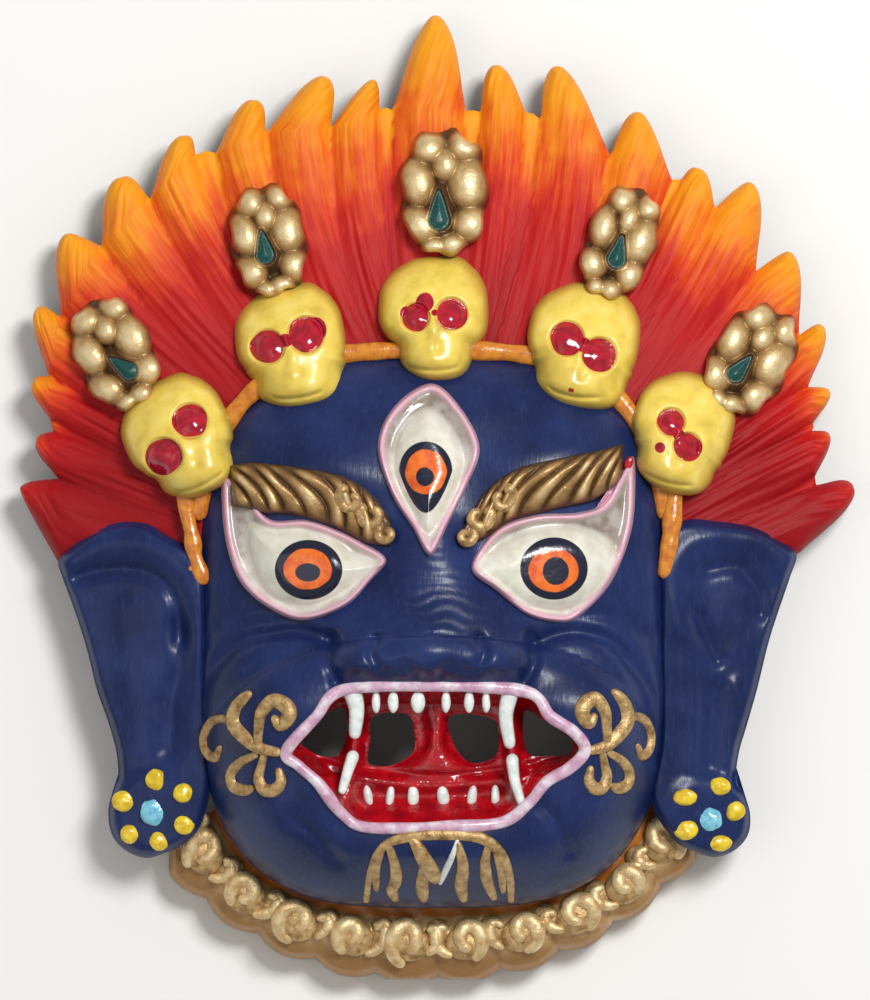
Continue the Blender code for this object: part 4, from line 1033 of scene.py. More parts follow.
# %% Skulls
SKULL_OUTLINE = (
    (2, 19.8), (8.4, 19.4), (12.1, 16.6), (14.8, 13.4), (16.9, 8), (17.2, -1.5), (15.8, -6.2), (12.6, -9.4),
    (12, -13.7), (9.7, -17.6), (5.3, -19.6), (-2, -19.6), (-7.2, -17), (-10, -13.7), (-10.8, -9.2),
    (-14, -6.4), (-16.6, -2), (-17.1, 3), (-16.4, 9), (-13.6, 13.6), (-9.8, 16.6), (-4.5, 19.3),
)
# Centre, turn, width and height, width of the jaw, then the sockets and other red spots: x, y, radius
SKULLS = (
    ((-80.3, 18.4), 24, 0.98, 0.97, 1.12, ((-77, 23.8, 5.3), (-85.2, 12.6, 5.7)), ()),
    ((-45.7, 47), 7, 1, 0.99, 1.25, ((-53, 46.8, 5.2), (-41, 50.6, 5.5)),
     ((-47.2, 48.8, 2.2), (-37.8, 52.2, 3.6))),
    ((-1.4, 55.8), 0, 1, 1, 1, ((-7, 56, 4.3), (4.3, 57, 4.9)),
     ((-3.8, 60.6, 2.9), (-9.8, 57.4, 2.2), (-0.9, 57.4, 1.3))),
    ((45, 47.4), -9, 1.02, 1, 1.25, ((40.2, 49.4, 5.2), (50.3, 44.2, 5.3)),
     ((45.4, 47.4, 2.3), (41.6, 33.4, 1.1))),
    ((75.6, 20.4), -16, 0.92, 0.96, 1.2, ((72.6, 23.4, 4.2), (77.6, 15.7, 4.3)),
     ((75, 19.6, 1.9), (69.2, 15.7, 1.6))),
)
print(len(SKULLS), "skulls, each about", 2 * max(x for x, _ in SKULL_OUTLINE), "mm wide")

# %% [markdown]
# Each skull keeps three measures at its points: the distance from the red paint, from its own
# edge, and how low and how far to the left a place lies. The paint reads them; the last gives a
# painted olive shade, strongest low on the jaw and to the left.

# %% Skull maker
def skull(centre, turn, wide, tall, jaw, sockets, spots):
    """Make one skull; its field 'red' is the distance in mm from the red paint's edge."""
    line = through(SKULL_OUTLINE, 110, True)
    u = line[:, 0] * wide * (1.0 + (jaw - 1.0) * smooth_step(5.0, 10.0, -line[:, 1]))
    loop = placed(u, line[:, 1] * tall, centre, turn)
    out = math.atan2(centre[1] - HEAD[1], centre[0] - HEAD[0])


    def red(x, y, share):
        d = np.min([np.hypot(x - sx, y - sy) - r for sx, sy, r in sockets + spots], axis=0)
        return d + 0.4 * ripple(x, y, 5.0, centre[0])

    def top(x, y, share):
        u, v = turned(x, y, centre, turn)
        lean = 30.5 - 0.36 * ((x - centre[0]) * math.cos(out) + (y - centre[1]) * math.sin(out))
        z = lean + 13.0 * np.sqrt(np.maximum(0.0, 1.0 - share ** 2.6))
        z = z - 3.8 * hill(u, v, -12.5, -10.5, 4.0, 5.0) - 3.8 * hill(u, v, 13.0, -11.0, 4.0, 5.0)
        z = z + 1.3 * hill(u, v, 0.0, -3.0, 2.0, 5.0) + 1.2 * hill(u, v, 0.5, -13.5, 8.0, 3.4)
        z = z - 0.9 * np.exp(-((v + 16.4 - 0.02 * u * u) / 0.7) ** 2) * (np.abs(u) < 8.0)
        z = z - 0.8 * hill(u, v, 1.5, -9.0, 1.2, 2.0)
        for sx, sy, r in sockets:
            d = np.hypot(x - sx, y - sy) / r
            z = z - 2.2 * (1.0 - smooth_step(0.92, 1.16, d)) + 1.9 * np.maximum(0.0, 1.0 - d * d)
        return z + 0.3 * ripple(x, y, 7.0, centre[1])

    def under(x, y, share):
        return np.where(head_share(x, y) < 0.97, skin(x, y) - 2.5, plate(x, y) - 3.0)

    # Painted shade: how low and how far left a place lies, as that side is turned from the light
    def low(x, y, share):
        u, v = turned(x, y, centre, turn)
        return -v - 0.6 * u

    shares = 1.0 - (1.0 - np.linspace(1 / 44, 1.0, 44)) ** 1.2
    fields = {"red": red, "edge": lambda x, y, s: (1.0 - s) * 17.0, "low": low}
    return relief("skull", loop, centre, shares, top, under, fields)


print("helper:", skull.__name__)

# %% [markdown]
# ### Skull enamel
# Gloss enamel in lemon yellow, with painted olive shade on the lower left side, a darker olive
# along the edge, and a wet red in the sockets. The eye gets a waxy yellow and two mirror-like
# red pools.

# %% Skull enamel
def skull_enamel():
    """Return yellow enamel with painted olive shade on the lower left, a darker olive edge and glossy red in
    the sockets.
    """
    material, tree, shader, place = new_paint("yellow and red gloss enamel", 0.32, 0.3)
    patches = mottle(tree, place, 7.0, 3.0)
    yellow = ramp(tree, patches, ((0.28, "#D8B848"), (0.5, "#EED058"), (0.72, "#F6DE74")))
    # Painted shade: olive towards the lower left, with an uneven reach
    uneven = calc(tree, "MULTIPLY_ADD", mottle(tree, place, 5.0), 12.0, -6.0)
    low = calc(tree, "ADD", field(tree, "low"), uneven)
    shade = calc(tree, "MULTIPLY", above(tree, low, 14.0, 9.0), 0.6)
    yellow = blend(tree, shade, yellow, colour("#B39A38"))
    yellow = blend(tree, above(tree, field(tree, "edge"), 1.4, 1.6), colour("#B8983C"), yellow)
    red = ramp(tree, mottle(tree, place, 2.5, 2.0), ((0.35, "#8E0820"), (0.6, "#B8102C")))
    share = above(tree, field(tree, "red"), 0.0, 0.12)
    tree.links.new(calc(tree, "MULTIPLY_ADD", share, 0.22, 0.12), shader.inputs["Roughness"])
    cover(tree, shader, blend(tree, share, red, yellow), mottle(tree, place, 4.0, 3.0), 0.3, 0.35)
    return material


dress(join("skulls", [skull(*row) for row in SKULLS]), skull_enamel())

# %% [markdown]
# ## Gold
# Bronze powder in varnish, brushed over the relief: warm brown metal. On a relief it gets a
# painted cream highlight on every crest and painted brown shade in the valleys. It is metallic
# paint, not leaf, so it stays rather rough and grainy.

# %% Gold paint
def gold_paint(name, dark, light, size):
    """Return bronze-powder paint in mottled patches from a darker to a lighter tone."""
    return brushed(name, ((0.3, dark), (0.68, light)), (size, 4.0), (0.8, 4.0, 0.35, 0.7), 0.38, 0.1, 0.4)


def crest_lit_gold(tree, place):
    """Return gold with painted shade, brown in the valleys, and a painted highlight, cream on the crests of
    a relief.
    """
    uneven = calc(tree, "MULTIPLY_ADD", mottle(tree, place, 4.0, 4.0), 0.5, -0.25)
    high = calc(tree, "ADD", field(tree, "crest"), uneven)
    # Painted shade low in the valleys, painted highlight high on the crests
    return ramp(tree, high, ((0.15, "#5A4024"), (0.45, "#8A673A"), (0.78, "#C09A62"), (1.0, "#EAD2A0")))


def relief_gold():
    """Return bronze-powder paint with painted highlights on the crests of a relief and painted shade in its
    valleys.
    """
    material, tree, shader, place = new_paint("bronze powder paint on a relief", 0.36, 0.1, 0.4)
    cover(tree, shader, crest_lit_gold(tree, place), mottle(tree, place, 0.9, 4.0), 0.3, 0.6)
    return material


GOLD = gold_paint("bronze powder paint", "#8A6436", "#D6B47A", 2.5)
RELIEF_GOLD = relief_gold()
print("gold paints", GOLD.name, "and", RELIEF_GOLD.name)

# %% [markdown]
# ## Crown ornaments
# Above each skull stands a flaming jewel: leaf-shaped knobs packed round a green drop. Each
# knob is a dome, and at every place the highest dome wins, which leaves sharp valleys
# between them.

# %% Crown ornaments
# Centre, half width, half height, turn, then the gem's place, turn and size
ORNAMENTS = (
    ((-100.4, 44.8), 12.2, 18, 24, (-97.6, 40.4), 56, 0.86),
    ((-52.7, 79.8), 11.6, 17.4, 8, (-54, 77.6), 10, 0.9),
    ((2, 94.8), 13.6, 19.6, 0, (0.4, 89), 0, 1.08),
    ((56.8, 79.2), 10.8, 18, -20, (56.2, 76.2), -14, 0.9),
    ((97.2, 42.7), 12.4, 18, -30, (94, 40), -42, 0.86),
)
# Knobs, in shares of the half sizes: x, y, half width, half height, turn
KNOBS = (
    (-0.36, 0.72, 0.44, 0.29, 20), (0.46, 0.74, 0.42, 0.28, -20), (-0.62, 0.16, 0.44, 0.42, 10),
    (0.56, 0.14, 0.52, 0.46, 0), (-0.58, -0.52, 0.52, 0.30, -42), (0.62, -0.50, 0.46, 0.32, 20),
    (0.20, -0.84, 0.40, 0.22, 0), (0.02, 0.44, 0.34, 0.30, 0), (-0.22, -0.88, 0.34, 0.20, 0),
)
print(len(ORNAMENTS), "ornaments of", len(KNOBS), "knobs")

# %% [markdown]
# The outline waves softly where a knob meets it. The green drop is pressed in last: a narrow
# channel runs round it, and it rises to a low ridge.

# %% Ornament maker
def ornament(centre, half_w, half_h, turn, gem, gem_turn, gem_size):
    """Make one ornament; its field 'gem' is the distance in mm from the green drop."""
    t = math.tau * np.arange(130) / 130
    u = half_w * np.sign(np.cos(t)) * np.abs(np.cos(t)) ** (2.0 / 2.3)
    v = half_h * np.sign(np.sin(t)) * np.abs(np.sin(t)) ** (2.0 / 2.3)
    wave = 1.0 + 0.045 * np.cos(9.0 * np.arctan2(v / half_h, u / half_w) + turn)
    wave = wave + 0.03 * ripple(u, v, 5.0, turn)
    loop = placed(u * wave, v * wave, centre, turn)

    def drop(x, y, share=0.0):
        u, v = turned(x, y, gem, gem_turn)
        v = v / gem_size
        t = np.clip((v + 2.4) / 8.2, 0.0, 1.0)
        return (np.hypot(np.abs(u) / gem_size, v + 2.4 - 8.2 * t) - 2.7 * (1.0 - t) ** 0.85) * gem_size

    def knobs(x, y, share=0.0):
        u, v = turned(x, y, centre, turn)
        high = np.zeros(np.shape(x))
        for ku, kv, wide, tall, lean in KNOBS:
            p, q = turned(u, v, (ku * half_w, kv * half_h), lean)
            r = np.hypot(p / (wide * half_w), q / (tall * half_h))
            high = np.maximum(high, np.sqrt(np.maximum(0.0, 1.0 - r ** 2)))
        return high

    def top(x, y, share):
        d = drop(x, y)
        z = plate(x, y) + 3.6 + 2.0 * np.sqrt(np.maximum(0.0, 1.0 - share ** 3)) + 5.2 * knobs(x, y)
        inside = plate(x, y) + 8.8 + 1.2 * np.clip(-d / 2.0, 0.0, 1.0)
        z = np.where(d < 0.4, inside, np.maximum(z, plate(x, y) + 10.0 - 1.5 * np.abs(d - 1.1)))
        return z - 1.8 * smooth_step(0.93, 1.0, share)

    # The knobs' height is kept as 'crest' for the gold's painted highlights and shade
    return relief("ornament", loop, centre, np.linspace(1 / 52, 1.0, 52), top,
                  lambda x, y, s: plate(x, y) - 2.0, {"gem": drop, "crest": knobs})


def jewelled_gold():
    """Return bronze-powder paint with a green enamel drop."""
    material, tree, shader, place = new_paint("bronze powder paint with green drop", 0.36, 0.15)
    share = above(tree, field(tree, "gem"), 0.35, 0.12)
    tree.links.new(calc(tree, "MULTIPLY", share, 0.4), shader.inputs["Metallic"])
    # The gold round the drop has painted highlights on the crests and painted shade in the valleys
    base = blend(tree, share, colour("#0A4A44"), crest_lit_gold(tree, place))
    cover(tree, shader, base, mottle(tree, place, 0.9, 4.0), 0.3, 0.6)
    return material


dress(join("crown_ornaments", [ornament(*row) for row in ORNAMENTS]), jewelled_gold())

# %% [markdown]
# ## Eyes
# Each eye is a leaf-shaped lid round an almond ball. The lid's edge is a pink roll, the
# channel beside the ball gets a painted grey shade, darker under the upper lid as a painted
# shadow, and the iris is three painted rings. All paint edges follow distances from drawn shapes.

# %% Outlines of the eyes
LEFT_EYE = (
    (-15.7, -19.4), (-23, -14), (-32, -9.6), (-41, -6.8), (-52, -6.6), (-58, 0.5), (-66.5, 7.2),
    (-67.2, -3), (-65.6, -15.5), (-61.4, -26.5), (-53, -34.2), (-42, -38.4), (-29, -34.2), (-21.5, -27),
)
RIGHT_EYE = (
    (10.4, -23), (13, -15.6), (20, -8.6), (31, -5.2), (43.5, -4.5), (51.5, -1.5), (56.5, 7), (61, 12.8),
    (61.6, 1), (60, -12), (54, -27), (43.5, -37.6), (36, -38.8), (27, -36.2), (18, -29.2),
)
THIRD_EYE = (
    (-2.2, -18.2), (-8, -9.5), (-15, 2), (-18.8, 16.5), (-13.5, 28.5), (-2.2, 35.6),
    (6.5, 29), (13.2, 16), (9.4, 3.6), (3.4, -8.5),
)
LEFT_BALL = (
    (-16.5, -20.4), (-25.5, -18.4), (-30.5, -13.8), (-40, -10.4), (-50, -10), (-58.5, -9.6),
    (-57.5, -20.5), (-54, -28), (-49, -32), (-39.5, -33.4), (-30, -29.5), (-22.5, -24.6),
)
RIGHT_BALL = (
    (11.6, -22.4), (20, -14.5), (31, -9.8), (43, -9.6), (53, -14), (55.5, -22), (49, -30.5), (38, -35),
    (26, -33), (18, -28),
)
THIRD_BALL = (
    (-3.2, -11), (-9, -2), (-13.2, 8), (-11.8, 19.5), (-3.5, 27), (4.6, 19.5), (7.6, 8),
    (3.6, -2),
)
# Iris: black, orange and pupil, each as x, y, half width, half height
LEFT_IRIS = ((-40.1, -22.5, 10.5, 9.3), (-40.4, -22.3, 7.5, 6.4), (-40.4, -23.3, 3.9, 2.9))
RIGHT_IRIS = ((36.2, -22.1, 10.5, 9.7), (36.0, -22.6, 7.8, 6.8), (36.8, -22.9, 4.1, 4.3))
THIRD_IRIS = ((-3.7, 8.2, 8.3, 9.2), (-3.6, 7.9, 6.4, 7.0), (-3.9, 6.4, 2.9, 2.9))
print("irises", [2 * iris[0][2] for iris in (LEFT_IRIS, RIGHT_IRIS, THIRD_IRIS)], "mm wide")

# %% [markdown]
# The ball swells inside the lid and a low channel parts the two. Each point keeps its distance
# from every painted edge, so the rings stay crisp however fine the mesh is.

# %% Eye maker
def within(x, y, loop):
    """Return the distance from a closed line, positive inside it and negative outside."""
    inside = np.zeros(np.shape(x), bool)
    for (ax, ay), (bx, by) in zip(loop, np.roll(loop, -1, axis=0)):
        inside ^= ((ay > y) != (by > y)) & (x < (bx - ax) * (y - ay) / (by - ay + 1e-12) + ax)
    return np.where(inside, 1.0, -1.0) * far_from(x, y, loop, True)


def eye(name, outline, ball, rings, tail=0.0):
    """Make an eye; its fields are distances in mm from the edges of its painted rings."""
    loop = through(outline, 150, True)
    inner = through(ball, 60, True)
    centre = rings[0][:2]

    def top(x, y, share):
        d = within(x, y, inner)
        bulge = 5.2 * (1.0 - (1.0 - np.clip(d / 8.5, 0.0, 1.0)) ** 2.4)
        edge = far_from(x, y, loop, True)
        lid = 2.0 * np.exp(-((edge - 1.5) / 1.2) ** 2) - 0.8 * np.exp(-((d + 1.2) / 1.4) ** 2)
        return skin(x, y) + 1.7 + bulge + lid - 2.6 * (1.0 - smooth_step(0.0, 1.2, edge)) ** 2

    def ring(cx, cy, w, h):
        return lambda x, y, s: ((np.hypot((x - cx) / w, (y - cy) / h) - 1.0) * min(w, h)
                                + 0.15 * ripple(x, y, 3.0, cx))

    def black(x, y, s):
        cx, cy, w, h = rings[0]
        low = np.clip((cy - y) / (h + tail), 0.0, 1.0) * (tail > 0)
        tall = np.where(y < cy, h + tail, h)
        return (np.hypot((x - cx) / w * (1.0 + 0.5 * low), (y - cy) / tall) - 1.0) * w

    shares = 1.0 - (1.0 - np.linspace(1 / 64, 1.0, 64)) ** 1.1
    # 'upper' is the height above the iris, for the painted shadow under the upper lid; outside 'ball' lies
    # the painted grey shade of the channel
    return relief(name, loop, centre, shares, top, lambda x, y, s: skin(x, y) - 2.4, {
        "black": black, "orange": ring(*rings[1]), "pupil": ring(*rings[2]),
        "rim": lambda x, y, s: far_from(x, y, loop, True), "ball": lambda x, y, s: within(x, y, inner),
        "upper": lambda x, y, s: y - rings[0][1]})


print("helpers:", within.__name__, eye.__name__)

# %% [markdown]
# ### Eye enamel
# White gloss enamel, with painted grey shade in the channel, darker above the iris as a painted
# shadow of the upper lid, and pink dragged round the lid. The rings are flat black, orange and
# black again. The eye gets a wet porcelain look.

# %% Eye enamel
INK = "#0C102B"


def eye_enamel():
    """Return white enamel with a pink rim, painted grey shade in the channel, a painted shadow under the
    upper lid and the rings of the iris.
    """
    material, tree, shader, place = new_paint("white, orange and black gloss enamel", 0.20, 0.4)
    white = ramp(tree, mottle(tree, place, 6.0, 3.0), ((0.3, "#D2CFBA"), (0.65, "#EAE8DA")))
    patches = mottle(tree, place, 5.0, 2.0)
    # Painted shade: greyer in the channel outside the ball, and darker above the iris as the painted shadow
    # of the upper lid
    outside = ramp(tree, patches, ((0.35, "#BDB6A8"), (0.6, "#DAD2CE")))
    shade = ramp(tree, patches, ((0.35, "#887C6E"), (0.6, "#B3A8A2")))
    outside = blend(tree, above(tree, field(tree, "upper"), 6.0, 6.0), outside, shade)
    white = blend(tree, above(tree, field(tree, "ball"), -0.6, 1.6), outside, white)
    edge = calc(tree, "ADD", field(tree, "rim"), calc(tree, "MULTIPLY_ADD", patches, 2.2, -1.1))
    base = blend(tree, above(tree, edge, 2.3, 1.0), colour("#E3B1C0"), white)
    orange = ramp(tree, mottle(tree, place, 3.0, 2.0), ((0.35, "#D9541A"), (0.6, "#EE7420")))
    for name, paint in (("black", colour(INK)), ("orange", orange), ("pupil", colour(INK))):
        base = blend(tree, above(tree, field(tree, name), 0.0, 0.14), paint, base)
    cover(tree, shader, base, mottle(tree, place, 3.0, 3.0), 0.25, 0.4)
    return material


EYE = eye_enamel()
dress(eye("left_eye", LEFT_EYE, LEFT_BALL, LEFT_IRIS), EYE)
dress(eye("right_eye", RIGHT_EYE, RIGHT_BALL, RIGHT_IRIS), EYE)
dress(eye("third_eye", THIRD_EYE, THIRD_BALL, THIRD_IRIS, 3.8), EYE)

# %% [markdown]
# ## Brows
# Bushy brows stand over the lids: nine locks side by side, each swept down and inwards like a
# small flame, with a curl at the inner end. A wave across the strip makes the locks and a
# lean of the wave sweeps them.

# %% Brows
LEFT_BROW = (
    ((-14.5, -7.5), (-19.5, 0), (-29, 6.4), (-45, 9.6), (-57, 10.8), (-65, 9.8)),
    ((-14.5, -15), (-22, -14.2), (-32, -9.2), (-44, -5.6), (-54.5, -4.6), (-64, -2.4)),
)
RIGHT_BROW = (
    ((8, -9.5), (15, 2), (25, 9), (40, 12.6), (50, 14.6), (57.6, 16.6)),
    ((7, -15), (14, -13.2), (23, -7.2), (36, -3.8), (49.5, -0.4), (57.6, 6.2)),
)
LOCKS = 9.5
LOCK_LEAN = -1.6
print("brows with", LOCKS, "locks")

# %% [markdown]
# The brow is a grid between its two lines, with a second grid below it and a wall round the
# border. The curls at its inner end are rolls that wind inwards.

# %% Brow maker
def brow(name, upper, lower):
    """Make a brow between two lines, with leaning locks."""
    steps, rows = 220, 34
    up, low = through(upper, steps, False), through(lower, steps, False)
    t = (np.arange(steps) / (steps - 1))[:, None]
    v = (np.arange(rows) / (rows - 1))[None, :]
    x = low[:, :1] + (up[:, :1] - low[:, :1]) * v
    y = low[:, 1:] + (up[:, 1:] - low[:, 1:]) * v
    phase = LOCKS * t + LOCK_LEAN * (v - 0.5) + 0.3 * np.sin(v * 4.0) + 0.10 * np.sin(t * 17.0)
    lock = np.abs(np.sin(math.pi * phase)) ** 0.5 * (0.85 + 0.15 * np.sin(t * 37.0))
    inner = smooth_step(0.06, 0.24, t)
    lock = lock * inner + 0.35 * (1.0 - inner)
    fade = (1.0 - np.abs(2.0 * v - 1.0) ** 5) * smooth_step(0.0, 0.03, t) * smooth_step(0.0, 0.05, 1.0 - t)
    z = skin(x, y) + 0.9 + 2.0 * smooth_step(0.6, 0.85, t) + fade * (1.4 + 3.2 * lock)
    half = steps * rows
    faces = grid_faces(steps, rows) + [(a, d, c, b) for a, b, c, d in grid_faces(steps, rows, half)]
    border = [i * rows for i in range(steps)] + [(steps - 1) * rows + j for j in range(1, rows)]
    border += [i * rows + rows - 1 for i in range(steps - 2, -1, -1)] + list(range(rows - 2, 0, -1))
    faces += [(a, b, b + half, a + half) for a, b in zip(border, border[1:] + border[:1])]
    # The locks' height, from which the gold takes its painted highlights and shade
    crest = np.concatenate([(fade * lock ** 1.6 + 0.0 * x).ravel(), np.zeros(half)])
    points = np.vstack([flat_list(x, y, z), flat_list(x, y, skin(x, y) - 2.6)])
    return new_mesh(name, points, faces, {"crest": crest})


def ring_curl(x, y, radius, start, turns, lift, thick):
    """Return the line and thickness of a curl that winds inwards on the face."""
    s = np.linspace(0.0, 1.0, 26)
    angle = np.radians(start) + math.tau * turns * s
    reach = radius * (1.0 - 0.6 * s)
    px, py = x + reach * np.cos(angle), y + reach * np.sin(angle)
    return np.column_stack([px, py, skin(px, py) + lift]), thick * (1.0 - 0.3 * s)


# Curls: x, y, radius, start in degrees, turns, height above the skin, thickness
BROW_CURLS = (
    (-27, -0.6, 3.8, 130, 0.75, 3.8, 2), (-20.4, -5.4, 3.8, 150, 0.8, 3.4, 2.1),
    (-16, -11.2, 2.6, 150, 0.8, 2.8, 1.7), (8.8, -12, 2.6, 30, -0.8, 2.8, 1.7),
    (12.8, -6.2, 3.8, 30, -0.8, 3.4, 2.1), (20, -0.4, 3.8, 50, -0.75, 3.8, 2),
)
dress(join("brows", [brow("left_brow", *LEFT_BROW), brow("right_brow", *RIGHT_BROW)]), RELIEF_GOLD)
dress(rolls("brow_curls", [ring_curl(*row) for row in BROW_CURLS], GOLD, 0.9), GOLD)

# %% [markdown]
# ## Mouth
# Behind the lips lies a red tray with four holes, which show what is behind the mask. It
# slopes down from the lips to its floor, with a tongue and two bars left standing.

# %% Holes of the mouth
HOLES = (
    ((-43.7, -74.5), (-40.6, -70.1), (-34.4, -67), (-29, -65.6), (-28.2, -73.2), (-30.3, -79.4),
     (-33.4, -80.7), (-38.7, -79.4)),
    ((-20.1, -68), (-9.5, -67.4), (-7.2, -73.2), (-7.6, -79), (-11.7, -82.3), (-16.9, -83.6),
     (-21.6, -82.5), (-21, -75.4)),
    ((3.9, -68), (14.1, -68), (18.6, -70.8), (18.5, -79.4), (14.1, -82.3), (9.2, -82), (4.8, -76.3)),
    ((27.4, -66.3), (32.8, -69.2), (39, -73.2), (42, -75.6), (40.6, -79.8), (32.8, -80.5),
     (28, -79.4), (26.6, -73.2)),
)
HOLE_LINES = [through(line, 48, True) for line in HOLES]
FLOOR_Z = 44.0
print(len(HOLES), "holes, floor of the mouth at", FLOOR_Z, "mm")

# %% [markdown]
# The tray is cut with upright blocks over the holes. Its paint is gloss enamel in blood red,
# laid on thick, so that it looks wet and catches small sharp lights.

# %% Red inside of the mouth
def gum(x, y, share=0.0):
    """Return the height of the red inside of the mouth."""
    depth = far_from(x, y, MOUTH_LINE, True)
    wide = np.where(y < -86.0, 11.0, 6.0)
    lip = skin(x, y, False) - 3.0
    z = FLOOR_Z + (lip - FLOOR_Z) * (1.0 - smooth_step(0.0, 1.0, depth / wide))
    tongue_half = 2.6 + 7.0 * smooth_step(-74.0, -86.0, y) ** 1.6
    z = z + 4.2 * np.exp(-np.abs((x + 0.4) / tongue_half) ** 3) * smooth_step(-89.0, -85.0, y)
    for x0, lean in ((-24.6, 0.09), (22.4, -0.05)):
        z = z + 5.0 * np.exp(-((x - x0 - lean * (y + 62.0)) / 2.2) ** 2) * smooth_step(-98.0, -88.0, y)
    ridge = -87.5 + 0.004 * x * x
    z = z + 2.6 * np.exp(-((y - ridge + 2.2) / 2.2) ** 2) * (np.abs(x) < 28)
    z = z - 1.2 * np.exp(-((y - ridge - 1.4) / 1.0) ** 2)
    near = np.min([far_from(x, y, line, True) for line in HOLE_LINES], axis=0)
    return z - 1.0 * np.exp(-(near / 1.0) ** 2)


MOUTH_CENTRE = np.array((-0.8, -80.5))
tray_line = MOUTH_CENTRE + (MOUTH_LINE - MOUTH_CENTRE) * np.array((1.05, 1.07))
tray = relief("mouth_inside", tray_line, MOUTH_CENTRE, np.linspace(1 / 60, 1.0, 60), gum,
              lambda x, y, s: FLOOR_Z - 4.0)
cut(tray, join("holes", [prism("hole", line, 20.0, 90.0) for line in HOLE_LINES]))
RED = brushed("blood red gloss enamel", ((0.3, "#8C0412"), (0.55, "#AE0818"), (0.75, "#C4121E")),
              (5.0, 3.0), (2.5, 3.0, 0.5, 0.6), 0.16, 0.5)
back_is_bare(tray, lambda x, y: FLOOR_Z - 3.5)
dress(tray, RED, PULP)

# A dab of the same red sits on the tip of the right eye: x, y, half width, half height, turn
DAB = (59.4, 10.6, 1.3, 2.3, -25.0)
dab_z = float(skin(DAB[0], DAB[1])) + 3.4
dress(drops("red_dab", [(DAB[0], DAB[1], dab_z, DAB[2], DAB[3], 0.7, DAB[4])], RED, 16, 0.3), RED)

# %% [markdown]
# ## Lips
# One roll runs round the mouth. Its gloss enamel is pale pink over white, dragged on with a
# nearly dry brush, so the eye gets streaks of both.

# %% Lips
def lips():
    """Make the closed roll of the lips."""
    line = through(MOUTH, 240, True)
    way = np.roll(line, -1, axis=0) - np.roll(line, 1, axis=0)
    way /= np.linalg.norm(way, axis=1)[:, None]
    sides = 16
    a = math.tau * np.arange(sides) / sides
    radius = 1.9 + 0.25 * ripple(line[:, 0], line[:, 1], 11.0, 2.0)
    side = radius[:, None] * np.cos(a)
    x = line[:, :1] - way[:, 1:] * side
    y = line[:, 1:] + way[:, :1] * side
    z = skin(line[:, 0], line[:, 1], False)[:, None] + 0.2 + radius[:, None] * 0.95 * np.sin(a)
    faces = ring_faces(len(line), sides, False)
    last = (len(line) - 1) * sides
    faces += [(last + j, last + (j + 1) % sides, (j + 1) % sides, j) for j in range(sides)]
    return new_mesh("lips", flat_list(x, y, z), faces)


dress(lips(), brushed("pale pink gloss enamel", ((0.36, "#C394AE"), (0.5, "#D6B0C4"), (0.62, "#E6DAE2")),
                      (5.0, 3.0), (1.6, 3.0, 0.3, 0.5), 0.26, 0.3))

# %% [markdown]
# ## Teeth
# Twelve pegs and four fangs, each set down as a short dab. Their white enamel is slightly
# cool and glossy, so they stand out from the red.

# %% Teeth
# Pegs: x, half width, lean
UPPER = ((-19.1, 1.3, 0), (-13.8, 1.7, 0), (-6.1, 2.2, 0), (2.6, 1.5, 0), (9.8, 1.6, 0), (15.1, 1.3, 0))
LOWER = ((-21.6, 1.4, 12), (-14.8, 1.3, -8), (-7.6, 1.8, 0), (1.7, 1.9, 6), (10.7, 1.5, -10), (17.9, 1.4, 0))
FANGS = (
    ((-26.4, -60.6), (-25.2, -66), (-25.7, -73.2), 3, 1.9),
    ((22.4, -61.4), (21.2, -68), (22.4, -76.4), 2.7, 1.8),
    ((-29.6, -91), (-28.2, -86), (-26.4, -80.6), 1.3, 2),
    ((26, -94.6), (24, -88), (23.2, -81.6), 1.3, 2),
)


def skin_at(x, y):
    """Return the height of the uncarved face at one place."""
    return float(skin(x, y, False))


def teeth(paint):
    """Make the pegs as drops and the fangs as short rolls."""
    rows = []
    for x, half, lean in UPPER:
        rows.append((x, -63.6, skin_at(x, -62.0) - 1.4, half, 3.4, 1.5, lean))
    for x, half, lean in LOWER:
        z = float(gum(np.array([x]), np.array([-93.0]))[0]) + 1.0
        rows.append((x, -93.0, z, half, 3.6, 1.6, lean))
    lines = []
    for start, middle, end, first, last in FANGS:
        line = through((start, middle, end), 12, False)
        z = skin_at(start[0], start[1]) - 1.6 - 0.12 * np.arange(12)
        lines.append((np.column_stack([line, z]), np.linspace(first, last, 12)))
    return join("teeth", [drops("pegs", rows, paint, 18, 0.5), rolls("fangs", lines, paint)])


WHITE = brushed("white gloss enamel", ((0.3, "#CFD8D4"), (0.6, "#EEF2EC")), (2.5, 2.0), (1.4, 3.0, 0.2, 0.4),
                0.22, 0.4)
dress(teeth(WHITE), WHITE)

# %% [markdown]
# ## Scrolls and beard
# Curled gold whiskers spring from the corners of the mouth and a bushy arch hangs from the
# lower lip, with one lock touched up in white. The right scroll mirrors the left one, as a
# modeller would cut one paper pattern for both.

# %% Lines of the whiskers
SCROLL_ROOTS = ((-49.9, -79.2, 1.0), (48.0, -78.6, -0.8))
SCROLL = (
    ((0, 0), (-5.9, 1.6), (-10.3, 5.3), (-13.1, 9.3), (-12.1, 14.3), (-9, 17.7)),
    ((-12.7, 7.5), (-16.5, 10.3), (-20.2, 9.3), (-22.4, 4.7), (-21.5, 0), (-19, -1.6), (-17.7, 1.2)),
    ((-5.9, 2.2), (-5.6, 7.5), (-4.7, 12.4), (-1.2, 15.9), (2.8, 14.3), (3.7, 11.2), (1.2, 8.4),
     (-0.6, 10.3)),
    ((-6.8, -0.9), (-11.2, -3.1), (-14, -6.5), (-13.4, -10.3), (-10.3, -11.8), (-7.8, -11.2)),
    ((-4, -0.9), (-5, -5), (-5.6, -8.1), (-4, -11.5), (-0.9, -11.8), (1.2, -9.3), (0.6, -5.9)),
)
SCROLL_THICK = (2.8, 1.9, 2.5, 2.1, 2.1)
